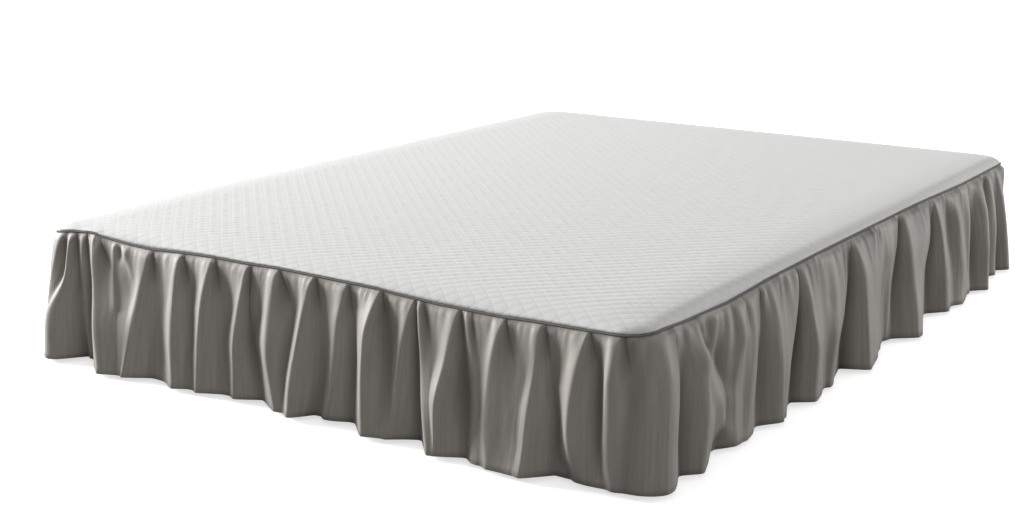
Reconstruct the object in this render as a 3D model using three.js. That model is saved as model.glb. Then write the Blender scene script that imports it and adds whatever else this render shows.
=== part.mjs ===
// Skirted waterproof mattress protector, fitted on its mattress and bed base.
//
// Frame: millimetres, +Z up. The origin is on the floor under the middle of the bed,
// the foot end faces -Y, the head end +Y, and the right-hand side +X.
//
// The protector is three sewn pieces: a quilted top panel that turns down over the mattress edge,
// a narrow piping in the seam, and a gathered skirt that hangs in uneven folds all the way round.

import * as THREE from 'three';
import { mergeVertices } from 'three/addons/utils/BufferGeometryUtils.js';

const { clamp, lerp, smoothstep } = THREE.MathUtils;

// ---------------------------------------------------------------- driving dimensions

const BED_WIDTH = 1500;            // finished width of the top panel
const BED_LENGTH = 2000;           // finished length of the top panel
const CORNER_RADIUS = 60;          // plan radius of the panel's corners
const PULLED_OUT = 23;             // front left corner, pulled out along its diagonal
const PULL_REACH = 40;
const DROOP_DEPTH = 5;             // how far the top sinks at the front left corner
const DROOP_REACH = 230;
const CROWN = 9;                   // how far the top sinks from its middle to its sides
const CROWN_REACH = 120;           // width of the border over which it sinks

const BASE_HEIGHT = 110;
const BASE_INSET = 10;             // base side, in from the seam
const BASE_CORNER_RADIUS = 45;

const MATTRESS_THICKNESS = 200;
const MATTRESS_INSET = 6;          // mattress side, in from the seam
const MATTRESS_EDGE_RADIUS = 39;
const MATTRESS_EDGE_STEPS = 3;
const REST_GAP = 0.3;              // between the mattress and the base under it
const PANEL_GAP = 0.4;             // between the panel and the mattress under it

const PANEL_THICKNESS = 2.5;
const PANEL_EDGE_REACH = 45;       // width of the panel's turned-down edge, in plan
const PANEL_EDGE_POWER = 2.3;      // the edge drops with this power of the way out
const PANEL_EDGE_SHARES = [0.4, 0.75];   // shares of the way out that get a ring of their own
const SEAM_BELOW_TOP = 23;         // seam line, below the panel's upper face
const TOP_RING_SCALES = [0.6, 0.85];     // rings on the flat top, as scaled copies of its rim

const PIPING_RADIUS = 2;
const PIPING_STAND_OUT = 1;        // centre of the piping, out from the seam outline
const PIPING_SIDES = 6;
const PANEL_ABOVE_SEAM = 2.4;      // panel's edge, above the seam line

const SKIRT_THICKNESS = 1.5;
const SKIRT_BELOW_SEAM = 3.2;      // skirt's top edge, below the seam line
const HEM_HEIGHT = 9;              // hem, above the floor
const GATHER_DEPTH = 12;           // how far the gathers stand out just under the seam
const GATHER_START = 18;           // depth over which the gathers open
const GATHER_END = 90;             // depth over which the gathers die away into the folds
const STITCHED_SHARE = 0.12;       // share of the gathers that already stands out in the seam
const FIRST_SLOPE = 0.8;           // slope of a fold at the seam, as a share of its first chord
const FAN_LENGTH = 0.42;           // share of the drop over which the gathers' fans turn to folds
const FAN_POWER = 1.8;             // a fan climbs to its crest with this power
const CLIMB_POWER = 1.1;           // and a fold with this one
const CLIMB_SLOPE = 0.58;          // stand-out per length of a fold's climb to its crest
const WIDEST_VALLEY = 0.6;         // share of the way to the crest before the climb starts, at most
const VALLEY_DIP = 0.08;           // how far a valley sinks further, as a share of the climb
const SKIRT_ROWS = [0, 0.1, 0.35, 0.65, 1];   // share of the drop, seam to hem
const CLIMBING_PARTS = [0, 0.35, 0.7];   // columns on a flank from a valley to a crest, as shares of it
const FALLING_PARTS = [0, 0.5];          // and on a flank from a crest to a valley

const STATION_SPACING = 300;       // longest step of the seam line on a straight side
const CORNER_STEPS = 6;            // steps of the seam line round a corner

// ---------------------------------------------------------------- derived dimensions

const MATTRESS_BOTTOM = BASE_HEIGHT + REST_GAP;
const MATTRESS_TOP = MATTRESS_BOTTOM + MATTRESS_THICKNESS;
const PANEL_TOP = MATTRESS_TOP + PANEL_GAP + PANEL_THICKNESS;
const SEAM_HEIGHT = PANEL_TOP - SEAM_BELOW_TOP;
const SKIRT_TOP = SEAM_HEIGHT - SKIRT_BELOW_SEAM;
const SKIRT_DROP = SKIRT_TOP - HEM_HEIGHT;

const CORNER_ARC = (Math.PI / 2) * CORNER_RADIUS;
const SHORT_SIDE = BED_WIDTH - 2 * CORNER_RADIUS + CORNER_ARC;
const LONG_SIDE = BED_LENGTH - 2 * CORNER_RADIUS + CORNER_ARC;

// ---------------------------------------------------------------- folds and seam line, by side
//
// A side runs from the middle of one corner to the middle of the next, anticlockwise seen from above:
// foot, right, head, left. Each row of a fold table is a line down the skirt where it turns: the crest
// of a fold or the bottom of a valley. Places are measured along the side, at the seam, at the two
// levels between, and at the hem; outs are the stand-outs from the seam outline below the seam.
// `gather` is the share of the gathering that the line takes.

const LEVELS = [0, 0.3, 0.65, 1];  // shares of the drop at which the places and outs are given
const FOLD_COLUMNS = ['gather', 'seam', 'upper', 'lower', 'hem', 'outUpper', 'outLower', 'outHem'];
const CREST = 1;
const HALF_CREST = 0.6;
const VALLEY = 0;

const FOOT_FOLDS = [
  [CREST, 28, 14, -6, -4, 22, 32, 40],
  [VALLEY, 40, 36, 8, 8, 8, 30, 46],
  [CREST, 51, 53, 34, 38, 25, 54, 76],
  [VALLEY, 66, 70, 78, 85, 6, 13, 14],
  [CREST, 82, 90, 96, 97, 15, 22, 25],
  [VALLEY, 94, 97, 101, 101, 4, 14, 24],
  [CREST, 118, 143, 172, 194, 32, 67, 88],
  [VALLEY, 134, 196, 226, 236, 18, 50, 68],
  [CREST, 292, 281, 269, 257, 25, 49, 73],
  [VALLEY, 303, 315, 318, 316, 12, 27, 40],
  [CREST, 386, 388, 393, 399, 33, 54, 64],
  [VALLEY, 396, 420, 433, 430, 10, 28, 45],
  [CREST, 477, 472, 467, 462, 31, 48, 53],
  [VALLEY, 488, 508, 514, 515, 9, 18, 27],
  [CREST, 577, 571, 561, 553, 21, 40, 36],
  [VALLEY, 588, 583, 592, 606, 5, 5, 6],
  [CREST, 660, 656, 659, 673, 25, 45, 44],
  [VALLEY, 667, 703, 695, 686, 7, 25, 42],
  [CREST, 752, 741, 729, 720, 24, 44, 55],
  [VALLEY, 763, 776, 773, 754, 5, 8, 13],
  [CREST, 840, 826, 812, 787, 16, 21, 22],
  [VALLEY, 847, 860, 852, 844, 3, 3, 2],
  [CREST, 921, 914, 908, 906, 44, 53, 51],
  [VALLEY, 930, 943, 948, 944, 7, 20, 39],
  [CREST, 1003, 991, 977, 960, 23, 29, 36],
  [VALLEY, 1009, 1015, 1015, 1013, 4, 4, 3],
  [CREST, 1018, 1036, 1054, 1070, 21, 46, 60],
  [VALLEY, 1028, 1056, 1070, 1078, 17, 46, 56],
  [CREST, 1107, 1100, 1091, 1086, 27, 55, 54],
  [VALLEY, 1113, 1123, 1127, 1139, 5, 12, 27],
  [CREST, 1128, 1146, 1159, 1163, 15, 25, 40],
  [VALLEY, 1138, 1157, 1168, 1172, 13, 24, 43],
  [CREST, 1208, 1194, 1190, 1203, 25, 34, 51],
  [VALLEY, 1213, 1238, 1243, 1240, 12, 28, 51],
  [CREST, 1288, 1285, 1280, 1276, 17, 39, 53],
  [VALLEY, 1299, 1312, 1326, 1322, 2, 2, 2],
  [CREST, 1384, 1373, 1367, 1366, 26, 36, 9],
  [VALLEY, 1392, 1413, 1414, 1415, 4, 5, 8],
  [CREST, 1446, 1440, 1440, 1442, 28, 29, 12],
  [VALLEY, 1457, 1470, 1462, 1456, 14, 16, 11],
];

const RIGHT_FOLDS = [
  [CREST, 40, 32, 31, 31, 34, 42, 42],
  [VALLEY, 88, 95, 98, 103, 9, 9, 11],
  [CREST, 150, 147, 143, 141, 36, 50, 45],
  [VALLEY, 180, 215, 262, 238, 1, 13, 8],
  [CREST, 350, 312, 296, 296, 24, 24, 30],
  [VALLEY, 362, 335, 318, 312, 17, 24, 33],
  [CREST, 385, 368, 350, 332, 18, 32, 37],
  [VALLEY, 432, 424, 414, 408, 8, 10, 15],
  [CREST, 460, 462, 463, 465, 31, 46, 51],
  [VALLEY, 520, 505, 500, 485, 18, 30, 44],
  [CREST, 588, 576, 548, 505, 13, 22, 38],
  [VALLEY, 598, 601, 585, 576, 4, 6, 11],
  [CREST, 612, 612, 612, 612, 31, 56, 56],
  [VALLEY, 690, 690, 675, 688, 17, 36, 36],
  [CREST, 770, 752, 731, 716, 25, 45, 43],
  [VALLEY, 872, 868, 848, 838, 6, 7, 7],
  [CREST, 890, 887, 879, 870, 33, 54, 69],
  [HALF_CREST, 1005, 958, 930, 915, 30, 50, 62],
  [VALLEY, 1020, 1032, 1056, 1076, 12, 12, 13],
  [CREST, 1110, 1101, 1099, 1094, 16, 18, 15],
  [VALLEY, 1150, 1150, 1135, 1108, 6, 8, 21],
  [CREST, 1178, 1172, 1180, 1158, 28, 46, 74],
  [HALF_CREST, 1300, 1288, 1232, 1182, 28, 44, 72],
  [VALLEY, 1382, 1385, 1362, 1352, 3, 8, 14],
  [CREST, 1395, 1400, 1402, 1412, 28, 48, 58],
  [VALLEY, 1467, 1476, 1474, 1450, 10, 26, 50],
  [CREST, 1500, 1518, 1526, 1497, 28, 48, 67],
  [VALLEY, 1590, 1600, 1606, 1592, 14, 26, 44],
  [CREST, 1630, 1632, 1624, 1606, 20, 30, 45],
  [VALLEY, 1662, 1652, 1638, 1622, 6, 20, 38],
  [CREST, 1722, 1700, 1680, 1668, 40, 66, 78],
  [VALLEY, 1770, 1762, 1756, 1752, 8, 18, 26],
  [CREST, 1800, 1808, 1818, 1826, 24, 39, 46],
  [VALLEY, 1850, 1856, 1862, 1868, 8, 15, 22],
  [CREST, 1885, 1890, 1900, 1908, 28, 48, 58],
  [VALLEY, 1925, 1930, 1938, 1944, 10, 22, 34],
];

// Head and left side: folds at an even pitch, whose places and stand-outs wander in slow waves.
// Places and wanders of places are shares of the pitch; outs and their wanders are millimetres.
const PLAIN_FOLD = {
  crest: 0.42, crestWander: 0.14, hemWander: 0.12,
  valleyAfterSeam: 0.15, valleyAfterHem: 0.38, valleyWander: 0.05,
  crestOut: 44, crestOutWander: 12, valleyOut: 14, valleyOutWander: 9,
};
const PLAIN_CREST = { upper: 0.45, lower: 0.8, outUpper: 0.55, outLower: 0.9 };   // shares of the hem's
const PLAIN_VALLEY = { upper: 0.7, lower: 0.9, outUpper: 0.3, outLower: 0.6 };
const HEAD_FOLDS = plainFolds(SHORT_SIDE, 16, 0.4);
const LEFT_FOLDS = plainFolds(LONG_SIDE, 20, 1.7);

// Seam line: [place along the side, height over the level seam], straight between rows.
const FOOT_SEAM = [
  [0, -9], [47, 0], [81, 2], [100, 4], [119, 4], [140, 0], [234, -6], [302, -7], [394, -1], [476, 2],
  [565, 2], [654, 5], [917, 3], [951, 0], [1055, -4], [1200, -5], [1279, -1.5], [1474, 3],
];
const RIGHT_SEAM = [
  [0, 3], [50, 5], [124, 0], [298, -5], [397, -2], [468, 1], [706, 3.5],
  [972, 4], [1280, 4.5], [1436, 1], [1620, -3], [1780, -2], [1974, 0],
];
const HEAD_SEAM = [[0, 0], [260, 3], [560, -3], [860, 2], [1180, -3], [1474, 0]];
const LEFT_SEAM = [
  [0, 0], [320, -3], [640, 3], [980, -2], [1320, 4], [1640, 0], [1865, -6], [1900, -7], [1974, -9],
];

const SIDES = [
  { length: SHORT_SIDE, folds: namedFolds(FOOT_FOLDS), seam: FOOT_SEAM },
  { length: LONG_SIDE, folds: namedFolds(RIGHT_FOLDS), seam: RIGHT_SEAM },
  { length: SHORT_SIDE, folds: HEAD_FOLDS, seam: HEAD_SEAM },
  { length: LONG_SIDE, folds: LEFT_FOLDS, seam: LEFT_SEAM },
];

/** Turn the rows of a fold table into objects with named columns. */
function namedFolds(rows) {
  return rows.map((row) => Object.fromEntries(FOLD_COLUMNS.map((name, i) => [name, row[i]])));
}

/** A crest or valley of a plain side, from its places at seam and hem and its stand-out at the hem. */
function plainFold(gather, seam, hem, out, shape) {
  return {
    gather,
    seam,
    upper: lerp(seam, hem, shape.upper),
    lower: lerp(seam, hem, shape.lower),
    hem,
    outUpper: shape.outUpper * out,
    outLower: shape.outLower * out,
    outHem: out,
  };
}

/** Folds of a plain side: `count` at an even pitch, with `phase` shifting how they wander. */
function plainFolds(length, count, phase) {
  const pitch = length / count;
  const plain = PLAIN_FOLD;
  return Array.from({ length: count }, (_, i) => {
    const seam = (i + plain.crest + plain.crestWander * Math.sin(2.4 * i + phase)) * pitch;
    const hem = seam + plain.hemWander * pitch * Math.sin(1.3 * i + 2 * phase);
    const out = plain.crestOut + plain.crestOutWander * Math.sin(1.9 * i + phase);
    const gap = seam + plain.valleyAfterSeam * pitch;
    const foot = hem + (plain.valleyAfterHem + plain.valleyWander * Math.sin(3.1 * i)) * pitch;
    const valleyOut = plain.valleyOut + plain.valleyOutWander * Math.sin(2.7 * i + 1 + phase);
    return [
      plainFold(CREST, seam, hem, out, PLAIN_CREST),
      plainFold(VALLEY, gap, foot, valleyOut, PLAIN_VALLEY),
    ];
  }).flat();
}

// ---------------------------------------------------------------- seam line

/** Straight-line value of a table of [place, value] rows at a place. */
function tableValue(rows, place) {
  const last = rows.length - 1;
  if (place >= rows[last][0]) return rows[last][1];
  const i = Math.max(0, rows.findIndex((row) => row[0] > place) - 1);
  const share = (place - rows[i][0]) / (rows[i + 1][0] - rows[i][0]);
  return lerp(rows[i][1], rows[i + 1][1], share);
}

/** Side and place along it of a distance round the whole seam. */
function sideAt(distance) {
  const round = SIDES.reduce((sum, side) => sum + side.length, 0);
  let place = THREE.MathUtils.euclideanModulo(distance, round);
  let index = 0;
  while (index < SIDES.length - 1 && place >= SIDES[index].length) {
    place -= SIDES[index].length;
    index += 1;
  }
  return { index, place };
}

/** Height of the seam over its level line. */
function seamRise(distance) {
  const { index, place } = sideAt(distance);
  return tableValue(SIDES[index].seam, place);
}

/** A bell about the middle of the front left corner's arc, in plan: exp(-(distance / reach)^2). */
function cornerBell(x, y, reach) {
  const roundOff = CORNER_RADIUS * (1 - Math.SQRT1_2);
  const away = Math.hypot(x + BED_WIDTH / 2 - roundOff, y + BED_LENGTH / 2 - roundOff);
  return Math.exp(-((away / reach) ** 2));
}

/** Level of the top across one side's border: 0 at the side and 1 where the border ends. */
function borderLevel(inward) {
  return 1 - clamp(1 - inward / CROWN_REACH, 0, 1) ** 2;
}

/** How far the top of the bed sinks at a point in plan. */
function droop(x, y) {
  const level = borderLevel(BED_WIDTH / 2 - Math.abs(x)) * borderLevel(BED_LENGTH / 2 - Math.abs(y));
  return CROWN * (1 - level) + DROOP_DEPTH * cornerBell(x, y, DROOP_REACH);
}

/**
 * Point and outward normal of a rounded rectangle with its front left corner pulled out, at a
 * distance round the seam. `inset` moves the outline in; the corners keep their centres.
 */
function outline(distance, inset = 0) {
  const { index, place } = sideAt(distance);
  const halfAlong = (index % 2 === 0 ? BED_WIDTH : BED_LENGTH) / 2 - CORNER_RADIUS;
  const halfAcross = (index % 2 === 0 ? BED_LENGTH : BED_WIDTH) / 2 - CORNER_RADIUS;
  const fromMiddle = place - CORNER_ARC / 2 - halfAlong;
  const along = clamp(fromMiddle, -halfAlong, halfAlong);
  const turn = (fromMiddle - along) / CORNER_RADIUS;
  const facing = (index - 1) * (Math.PI / 2);
  const radius = CORNER_RADIUS - inset;
  // In the side's own frame: u runs along the side, v points out of the bed.
  const u = along + radius * Math.sin(turn);
  const v = halfAcross + radius * Math.cos(turn);
  const normal = new THREE.Vector2(Math.cos(facing + turn), Math.sin(facing + turn));
  const point = new THREE.Vector2(
    v * Math.cos(facing) - u * Math.sin(facing),
    v * Math.sin(facing) + u * Math.cos(facing),
  );
  point.subScalar(PULLED_OUT * Math.SQRT1_2 * cornerBell(point.x, point.y, PULL_REACH));
  return { point, normal };
}

/** Distances round the seam at which the mattress, panel and piping have their sections. */
function seamStations() {
  const stations = [];
  let start = 0;
  for (const side of SIDES) {
    const half = CORNER_ARC / 2;
    const fixed = side.seam.map((row) => row[0]).filter((p) => p > half && p < side.length - half);
    const stops = [half, ...fixed, side.length - half];
    for (let i = 0; i < CORNER_STEPS / 2; i += 1) {
      stations.push(start + (i * CORNER_ARC) / CORNER_STEPS);
    }
    for (let i = 0; i < stops.length - 1; i += 1) {
      const steps = Math.ceil((stops[i + 1] - stops[i]) / STATION_SPACING);
      for (let k = 0; k < steps; k += 1) {
        stations.push(start + lerp(stops[i], stops[i + 1], k / steps));
      }
    }
    for (let i = 0; i < CORNER_STEPS / 2; i += 1) {
      stations.push(start + side.length - half + (i * CORNER_ARC) / CORNER_STEPS);
    }
    start += side.length;
  }
  return stations;
}

const STATIONS = seamStations();

// ---------------------------------------------------------------- meshes from rings

const NO_RINGS = { from: 0, to: 0 };

/** Closed body from rings of points: skins between rings, and the last ring joined to the first. */
function ringBody(rings, crossed = NO_RINGS) {
  return skinnedBody([...rings, rings[0]], rings.length, [], crossed);
}

/** Closed body from rings of points, with a flat cap of triangles over its first and last ring. */
function cappedBody(rings, crossed = NO_RINGS) {
  return skinnedBody(rings, rings.length, [0, rings.length - 1], crossed);
}

/**
 * Body whose skin joins each ring to the next, and whose `capped` rings get a flat cap.
 * Rings run anticlockwise seen from above. They go down the inside of the body and up its outside,
 * so that every face points out. The quads above the `crossed` rings are split the other way, which
 * gives both skins of a sheet the same creases, so that they stay the same distance apart.
 */
function skinnedBody(rings, ringCount, capped, crossed) {
  const columns = rings[0].length;
  const positions = rings.slice(0, ringCount).flat().flatMap((p) => [p.x, p.y, p.z]);
  const indices = [];
  for (let r = 0; r < rings.length - 1; r += 1) {
    const lower = r * columns;
    const upper = ((r + 1) % ringCount) * columns;
    for (let c = 0; c < columns; c += 1) {
      const next = (c + 1) % columns;
      if (r >= crossed.from && r < crossed.to) {
        indices.push(lower + c, lower + next, upper + c);
        indices.push(lower + next, upper + next, upper + c);
      } else {
        indices.push(lower + c, lower + next, upper + next);
        indices.push(lower + c, upper + next, upper + c);
      }
    }
  }
  for (const ring of capped) {
    const middle = positions.length / 3;
    const height = rings[ring].reduce((sum, p) => sum + p.z, 0) / columns;
    positions.push(0, 0, height);
    for (let c = 0; c < columns; c += 1) {
      const edge = [ring * columns + c, ring * columns + ((c + 1) % columns)];
      indices.push(middle, ...(ring === 0 ? edge.reverse() : edge));
    }
  }
  const geometry = new THREE.BufferGeometry();
  geometry.setAttribute('position', new THREE.Float32BufferAttribute(positions, 3));
  geometry.setIndex(indices);
  geometry.computeVertexNormals();
  return geometry;
}

/** Ring round the bed at one inset from the seam outline and one height at each station. */
function stationRing(inset, heightAt) {
  return STATIONS.map((distance) => {
    const { point } = outline(distance, inset);
    return new THREE.Vector3(point.x, point.y, heightAt(distance, point));
  });
}

/** Rings on the flat top inside its rim, which droop with it. */
function topRings(rim, height) {
  return TOP_RING_SCALES.map((scale) => rim.map(({ x, y }) => (
    new THREE.Vector3(x * scale, y * scale, height - droop(x * scale, y * scale))
  )));
}

// ---------------------------------------------------------------- the pieces

/** Rounded rectangle, centred, as an outline for extruding. */
function roundedRectangle(width, length, radius) {
  const x = width / 2;
  const y = length / 2;
  const shape = new THREE.Shape();
  shape.absarc(x - radius, -y + radius, radius, -Math.PI / 2, 0);
  shape.absarc(x - radius, y - radius, radius, 0, Math.PI / 2);
  shape.absarc(-x + radius, y - radius, radius, Math.PI / 2, Math.PI);
  shape.absarc(-x + radius, -y + radius, radius, Math.PI, 1.5 * Math.PI);
  return shape;
}

/** Low divan base: a plain box with rounded corners, flat on the floor. */
function bedBaseGeometry() {
  const shape = roundedRectangle(
    BED_WIDTH - 2 * BASE_INSET,
    BED_LENGTH - 2 * BASE_INSET,
    BASE_CORNER_RADIUS,
  );
  return new THREE.ExtrudeGeometry(shape, {
    depth: BASE_HEIGHT, bevelEnabled: false, curveSegments: CORNER_STEPS,
  });
}

/** Mattress: a slab with rounded corners and edges, whose top droops at the front left corner. */
function mattressGeometry() {
  const radius = MATTRESS_EDGE_RADIUS;
  const angles = Array.from({ length: MATTRESS_EDGE_STEPS + 1 }, (_, i) => (
    (Math.PI / 2) * (i / MATTRESS_EDGE_STEPS)
  ));
  const ring = (inset, height) => stationRing(MATTRESS_INSET + inset, (_, point) => (
    height - droop(point.x, point.y) * smoothstep(height, MATTRESS_BOTTOM, MATTRESS_TOP)
  ));
  const lowerEdge = angles.map((angle) => ring(
    radius * (1 - Math.sin(angle)),
    MATTRESS_BOTTOM + radius * (1 - Math.cos(angle)),
  ));
  const upperEdge = angles.map((angle) => ring(
    radius * (1 - Math.cos(angle)),
    MATTRESS_TOP - radius * (1 - Math.sin(angle)),
  ));
  const top = topRings(upperEdge.at(-1), MATTRESS_TOP).reverse();
  return cappedBody([...lowerEdge, ...upperEdge, ...top]);
}

/** Top panel: a sheet over the mattress whose edge curves down, ever more steeply, to the seam. */
function topPanelGeometry() {
  const edgeHeight = (distance) => SEAM_HEIGHT + PANEL_ABOVE_SEAM + seamRise(distance);
  const edgeRing = (share, reach, top) => stationRing(
    PANEL_EDGE_REACH - reach * share,
    (distance, { x, y }) => lerp(top - droop(x, y), edgeHeight(distance), share ** PANEL_EDGE_POWER),
  );
  const underside = PANEL_TOP - PANEL_THICKNESS;
  const innerReach = PANEL_EDGE_REACH - PANEL_THICKNESS;
  const rim = stationRing(PANEL_EDGE_REACH, (_, { x, y }) => underside - droop(x, y));
  const upperRim = stationRing(PANEL_EDGE_REACH, (_, { x, y }) => PANEL_TOP - droop(x, y));
  const inside = [
    ...topRings(rim, underside),
    rim,
    ...PANEL_EDGE_SHARES.map((share) => edgeRing(share, innerReach, underside)),
    edgeRing(1, innerReach, underside),
  ];
  const outside = [
    edgeRing(1, PANEL_EDGE_REACH, PANEL_TOP),
    ...PANEL_EDGE_SHARES.map((share) => edgeRing(share, PANEL_EDGE_REACH, PANEL_TOP)).reverse(),
    upperRim,
    ...topRings(upperRim, PANEL_TOP).reverse(),
  ];
  return cappedBody([...inside, ...outside], { from: 0, to: inside.length - 1 });
}

/** Piping: a thin round cord cover, all the way round, between the panel's edge and the skirt. */
function pipingGeometry() {
  const rings = Array.from({ length: PIPING_SIDES }, (_, i) => {
    const angle = (2 * Math.PI * i) / PIPING_SIDES;
    return stationRing(
      -PIPING_STAND_OUT - PIPING_RADIUS * Math.cos(angle),
      (distance) => SEAM_HEIGHT + seamRise(distance) + PIPING_RADIUS * Math.sin(angle),
    );
  });
  return ringBody(rings);
}

/** Smooth curve down the drop through a value at each level; it never swings past them. */
function downCurve(values, share, firstSlope = 1) {
  const steps = LEVELS.slice(1).map((level, i) => level - LEVELS[i]);
  const chords = steps.map((step, i) => (values[i + 1] - values[i]) / step);
  const slopes = LEVELS.map((_, i) => {
    if (i === 0) return firstSlope * chords[0];
    if (i === chords.length) return chords[i - 1];
    if (chords[i - 1] * chords[i] <= 0) return 0;
    const before = 2 * steps[i] + steps[i - 1];
    const after = steps[i] + 2 * steps[i - 1];
    return (before + after) / (before / chords[i - 1] + after / chords[i]);
  });
  const span = Math.min(LEVELS.filter((level) => level <= share).length, steps.length) - 1;
  const t = (share - LEVELS[span]) / steps[span];
  const bend = slopes[span] * t * (1 - t) ** 2 - slopes[span + 1] * t * t * (1 - t);
  return lerp(values[span], values[span + 1], t * t * (3 - 2 * t)) + steps[span] * bend;
}

/** Crests and valleys of every fold at one share of the drop, in order round the bed. */
function foldsAt(share) {
  const depth = share * SKIRT_DROP;
  const opened = (1 - Math.exp(-depth / GATHER_START)) * Math.exp(-depth / GATHER_END);
  const gathers = GATHER_DEPTH * (opened + STITCHED_SHARE * (1 - share));
  const turns = [];
  let start = 0;
  for (const { folds, length } of SIDES) {
    for (const { gather, seam, upper, lower, hem, outUpper, outLower, outHem } of folds) {
      turns.push({
        gather,
        place: start + downCurve([seam, upper, lower, hem], share),
        out: downCurve([0, outUpper, outLower, outHem], share, FIRST_SLOPE) + gather * gathers,
      });
    }
    start += length;
  }
  return [...turns, { ...turns[0], place: turns[0].place + start }];
}

/** Share of the way out at a part of the way along a flank that climbs from a valley to a crest. */
function climbed(part, share, valley, crest) {
  const folded = smoothstep(share, 0, FAN_LENGTH);
  const length = Math.abs(crest.out - valley.out) / CLIMB_SLOPE;
  const start = folded * clamp(1 - length / (crest.place - valley.place), 0, WIDEST_VALLEY);
  const dip = VALLEY_DIP * folded;
  if (part <= start) return start > 0 ? (-dip * part) / start : 0;
  const power = lerp(FAN_POWER, CLIMB_POWER, folded);
  return lerp(-dip, 1, ((part - start) / (1 - start)) ** power);
}

/** Section of the skirt at a share of the drop: its middle line, as points in plan with heights. */
function skirtLine(share) {
  const turns = foldsAt(share);
  const line = [];
  for (let k = 0; k < turns.length - 1; k += 1) {
    const [from, to] = [turns[k], turns[k + 1]];
    const climbing = to.gather > from.gather;
    for (const part of climbing ? CLIMBING_PARTS : FALLING_PARTS) {
      const distance = lerp(from.place, to.place, part);
      const way = climbing ? climbed(part, share, from, to) : part;
      const { point, normal } = outline(distance);
      point.addScaledVector(normal, Math.max(lerp(from.out, to.out, way), 0));
      const height = lerp(SKIRT_TOP + seamRise(distance), HEM_HEIGHT, share);
      line.push(new THREE.Vector3(point.x, point.y, height));
    }
  }
  return line;
}

/** A closed line in plan, moved sideways: positive is away from the bed. */
function offsetLine(line, amount) {
  const count = line.length;
  return line.map((point, i) => {
    const before = line[(i + count - 1) % count];
    const after = line[(i + 1) % count];
    const along = new THREE.Vector2(after.x - before.x, after.y - before.y).normalize();
    return new THREE.Vector3(point.x + along.y * amount, point.y - along.x * amount, point.z);
  });
}

/** Skirt: one gathered ring of cloth, hanging from the seam to just above the floor. */
function skirtGeometry() {
  const lines = SKIRT_ROWS.map(skirtLine);
  const inside = lines.map((line) => offsetLine(line, -SKIRT_THICKNESS / 2));
  const outside = lines.map((line) => offsetLine(line, SKIRT_THICKNESS / 2)).reverse();
  const rings = [...inside, ...outside];
  return ringBody(rings, { from: inside.length, to: rings.length });
}

// ---------------------------------------------------------------- the object

const CLOTH_ROUGHNESS = 0.85;

/** Mesh with its name, a merged geometry and a matt material of one colour. */
function piece(name, geometry, colour) {
  geometry.deleteAttribute('normal');
  geometry.deleteAttribute('uv');
  const merged = mergeVertices(geometry, 1e-3);
  merged.computeVertexNormals();
  const material = new THREE.MeshStandardMaterial({
    color: colour, roughness: CLOTH_ROUGHNESS, metalness: 0,
  });
  const mesh = new THREE.Mesh(merged, material);
  mesh.name = name;
  return mesh;
}

const bed = new THREE.Group();
bed.name = 'skirted_mattress_protector';
bed.add(
  piece('bed_base', bedBaseGeometry(), 0xb7b0a6),
  piece('mattress', mattressGeometry(), 0xe9e7e2),
  piece('top_panel', topPanelGeometry(), 0xd7d8d4),
  piece('piping', pipingGeometry(), 0x6d6962),
  piece('skirt', skirtGeometry(), 0x78736c),
);

export default bed;
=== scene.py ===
"""Looks of a skirted, quilted mattress protector, fitted on its mattress and bed base.

Lengths are metres unless a name or a table says millimetres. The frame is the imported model's: the origin
is on the floor under the middle of the bed, the foot end faces -Y, the right-hand side +X, and +Z is up.
"""

import logging
import math
from dataclasses import dataclass, field
from enum import IntEnum
from typing import NamedTuple, Sequence

import bpy
import numpy as np
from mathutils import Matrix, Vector


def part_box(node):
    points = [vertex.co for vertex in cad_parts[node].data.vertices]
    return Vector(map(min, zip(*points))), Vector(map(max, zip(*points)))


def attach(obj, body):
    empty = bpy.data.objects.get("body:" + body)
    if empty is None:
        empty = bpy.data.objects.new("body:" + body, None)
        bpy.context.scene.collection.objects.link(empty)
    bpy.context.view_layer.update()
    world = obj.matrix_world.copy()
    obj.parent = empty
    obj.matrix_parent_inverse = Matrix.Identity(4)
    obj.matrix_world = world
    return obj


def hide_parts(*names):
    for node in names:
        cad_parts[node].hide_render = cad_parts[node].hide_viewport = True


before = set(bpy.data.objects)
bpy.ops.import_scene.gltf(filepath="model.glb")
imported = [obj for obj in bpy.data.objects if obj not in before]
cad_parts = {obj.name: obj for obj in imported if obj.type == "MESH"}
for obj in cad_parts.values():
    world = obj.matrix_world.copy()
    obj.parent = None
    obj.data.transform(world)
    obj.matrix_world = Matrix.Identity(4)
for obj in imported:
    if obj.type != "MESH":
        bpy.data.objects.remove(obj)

log = logging.getLogger("bed")

MM = 0.001

# Least divisor, for the places where the quotient isn't used.
TINY = 1e-9

Array = np.ndarray
Colour = tuple[float, float, float]


class Side(IntEnum):
    """The sides of the bed, in order anticlockwise from above."""

    FOOT = 0
    RIGHT = 1
    HEAD = 2
    LEFT = 3


# ---------------------------------------------------------------- small helpers


def smooth(low: float, high: float, value: Array) -> Array:
    """Rise from 0 at `low` to 1 at `high`, flat at both ends: 3t^2 - 2t^3."""
    t = np.clip((value - low) / (high - low), 0.0, 1.0)
    return t * t * (3.0 - 2.0 * t)


def lerp(start: Array | float, end: Array | float, share: Array | float) -> Array | float:
    """Straight blend from start to end."""
    return start + (end - start) * share


NOISE_WAVES = 9
NOISE_WAVENUMBERS = (1.6, 4.4)


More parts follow.
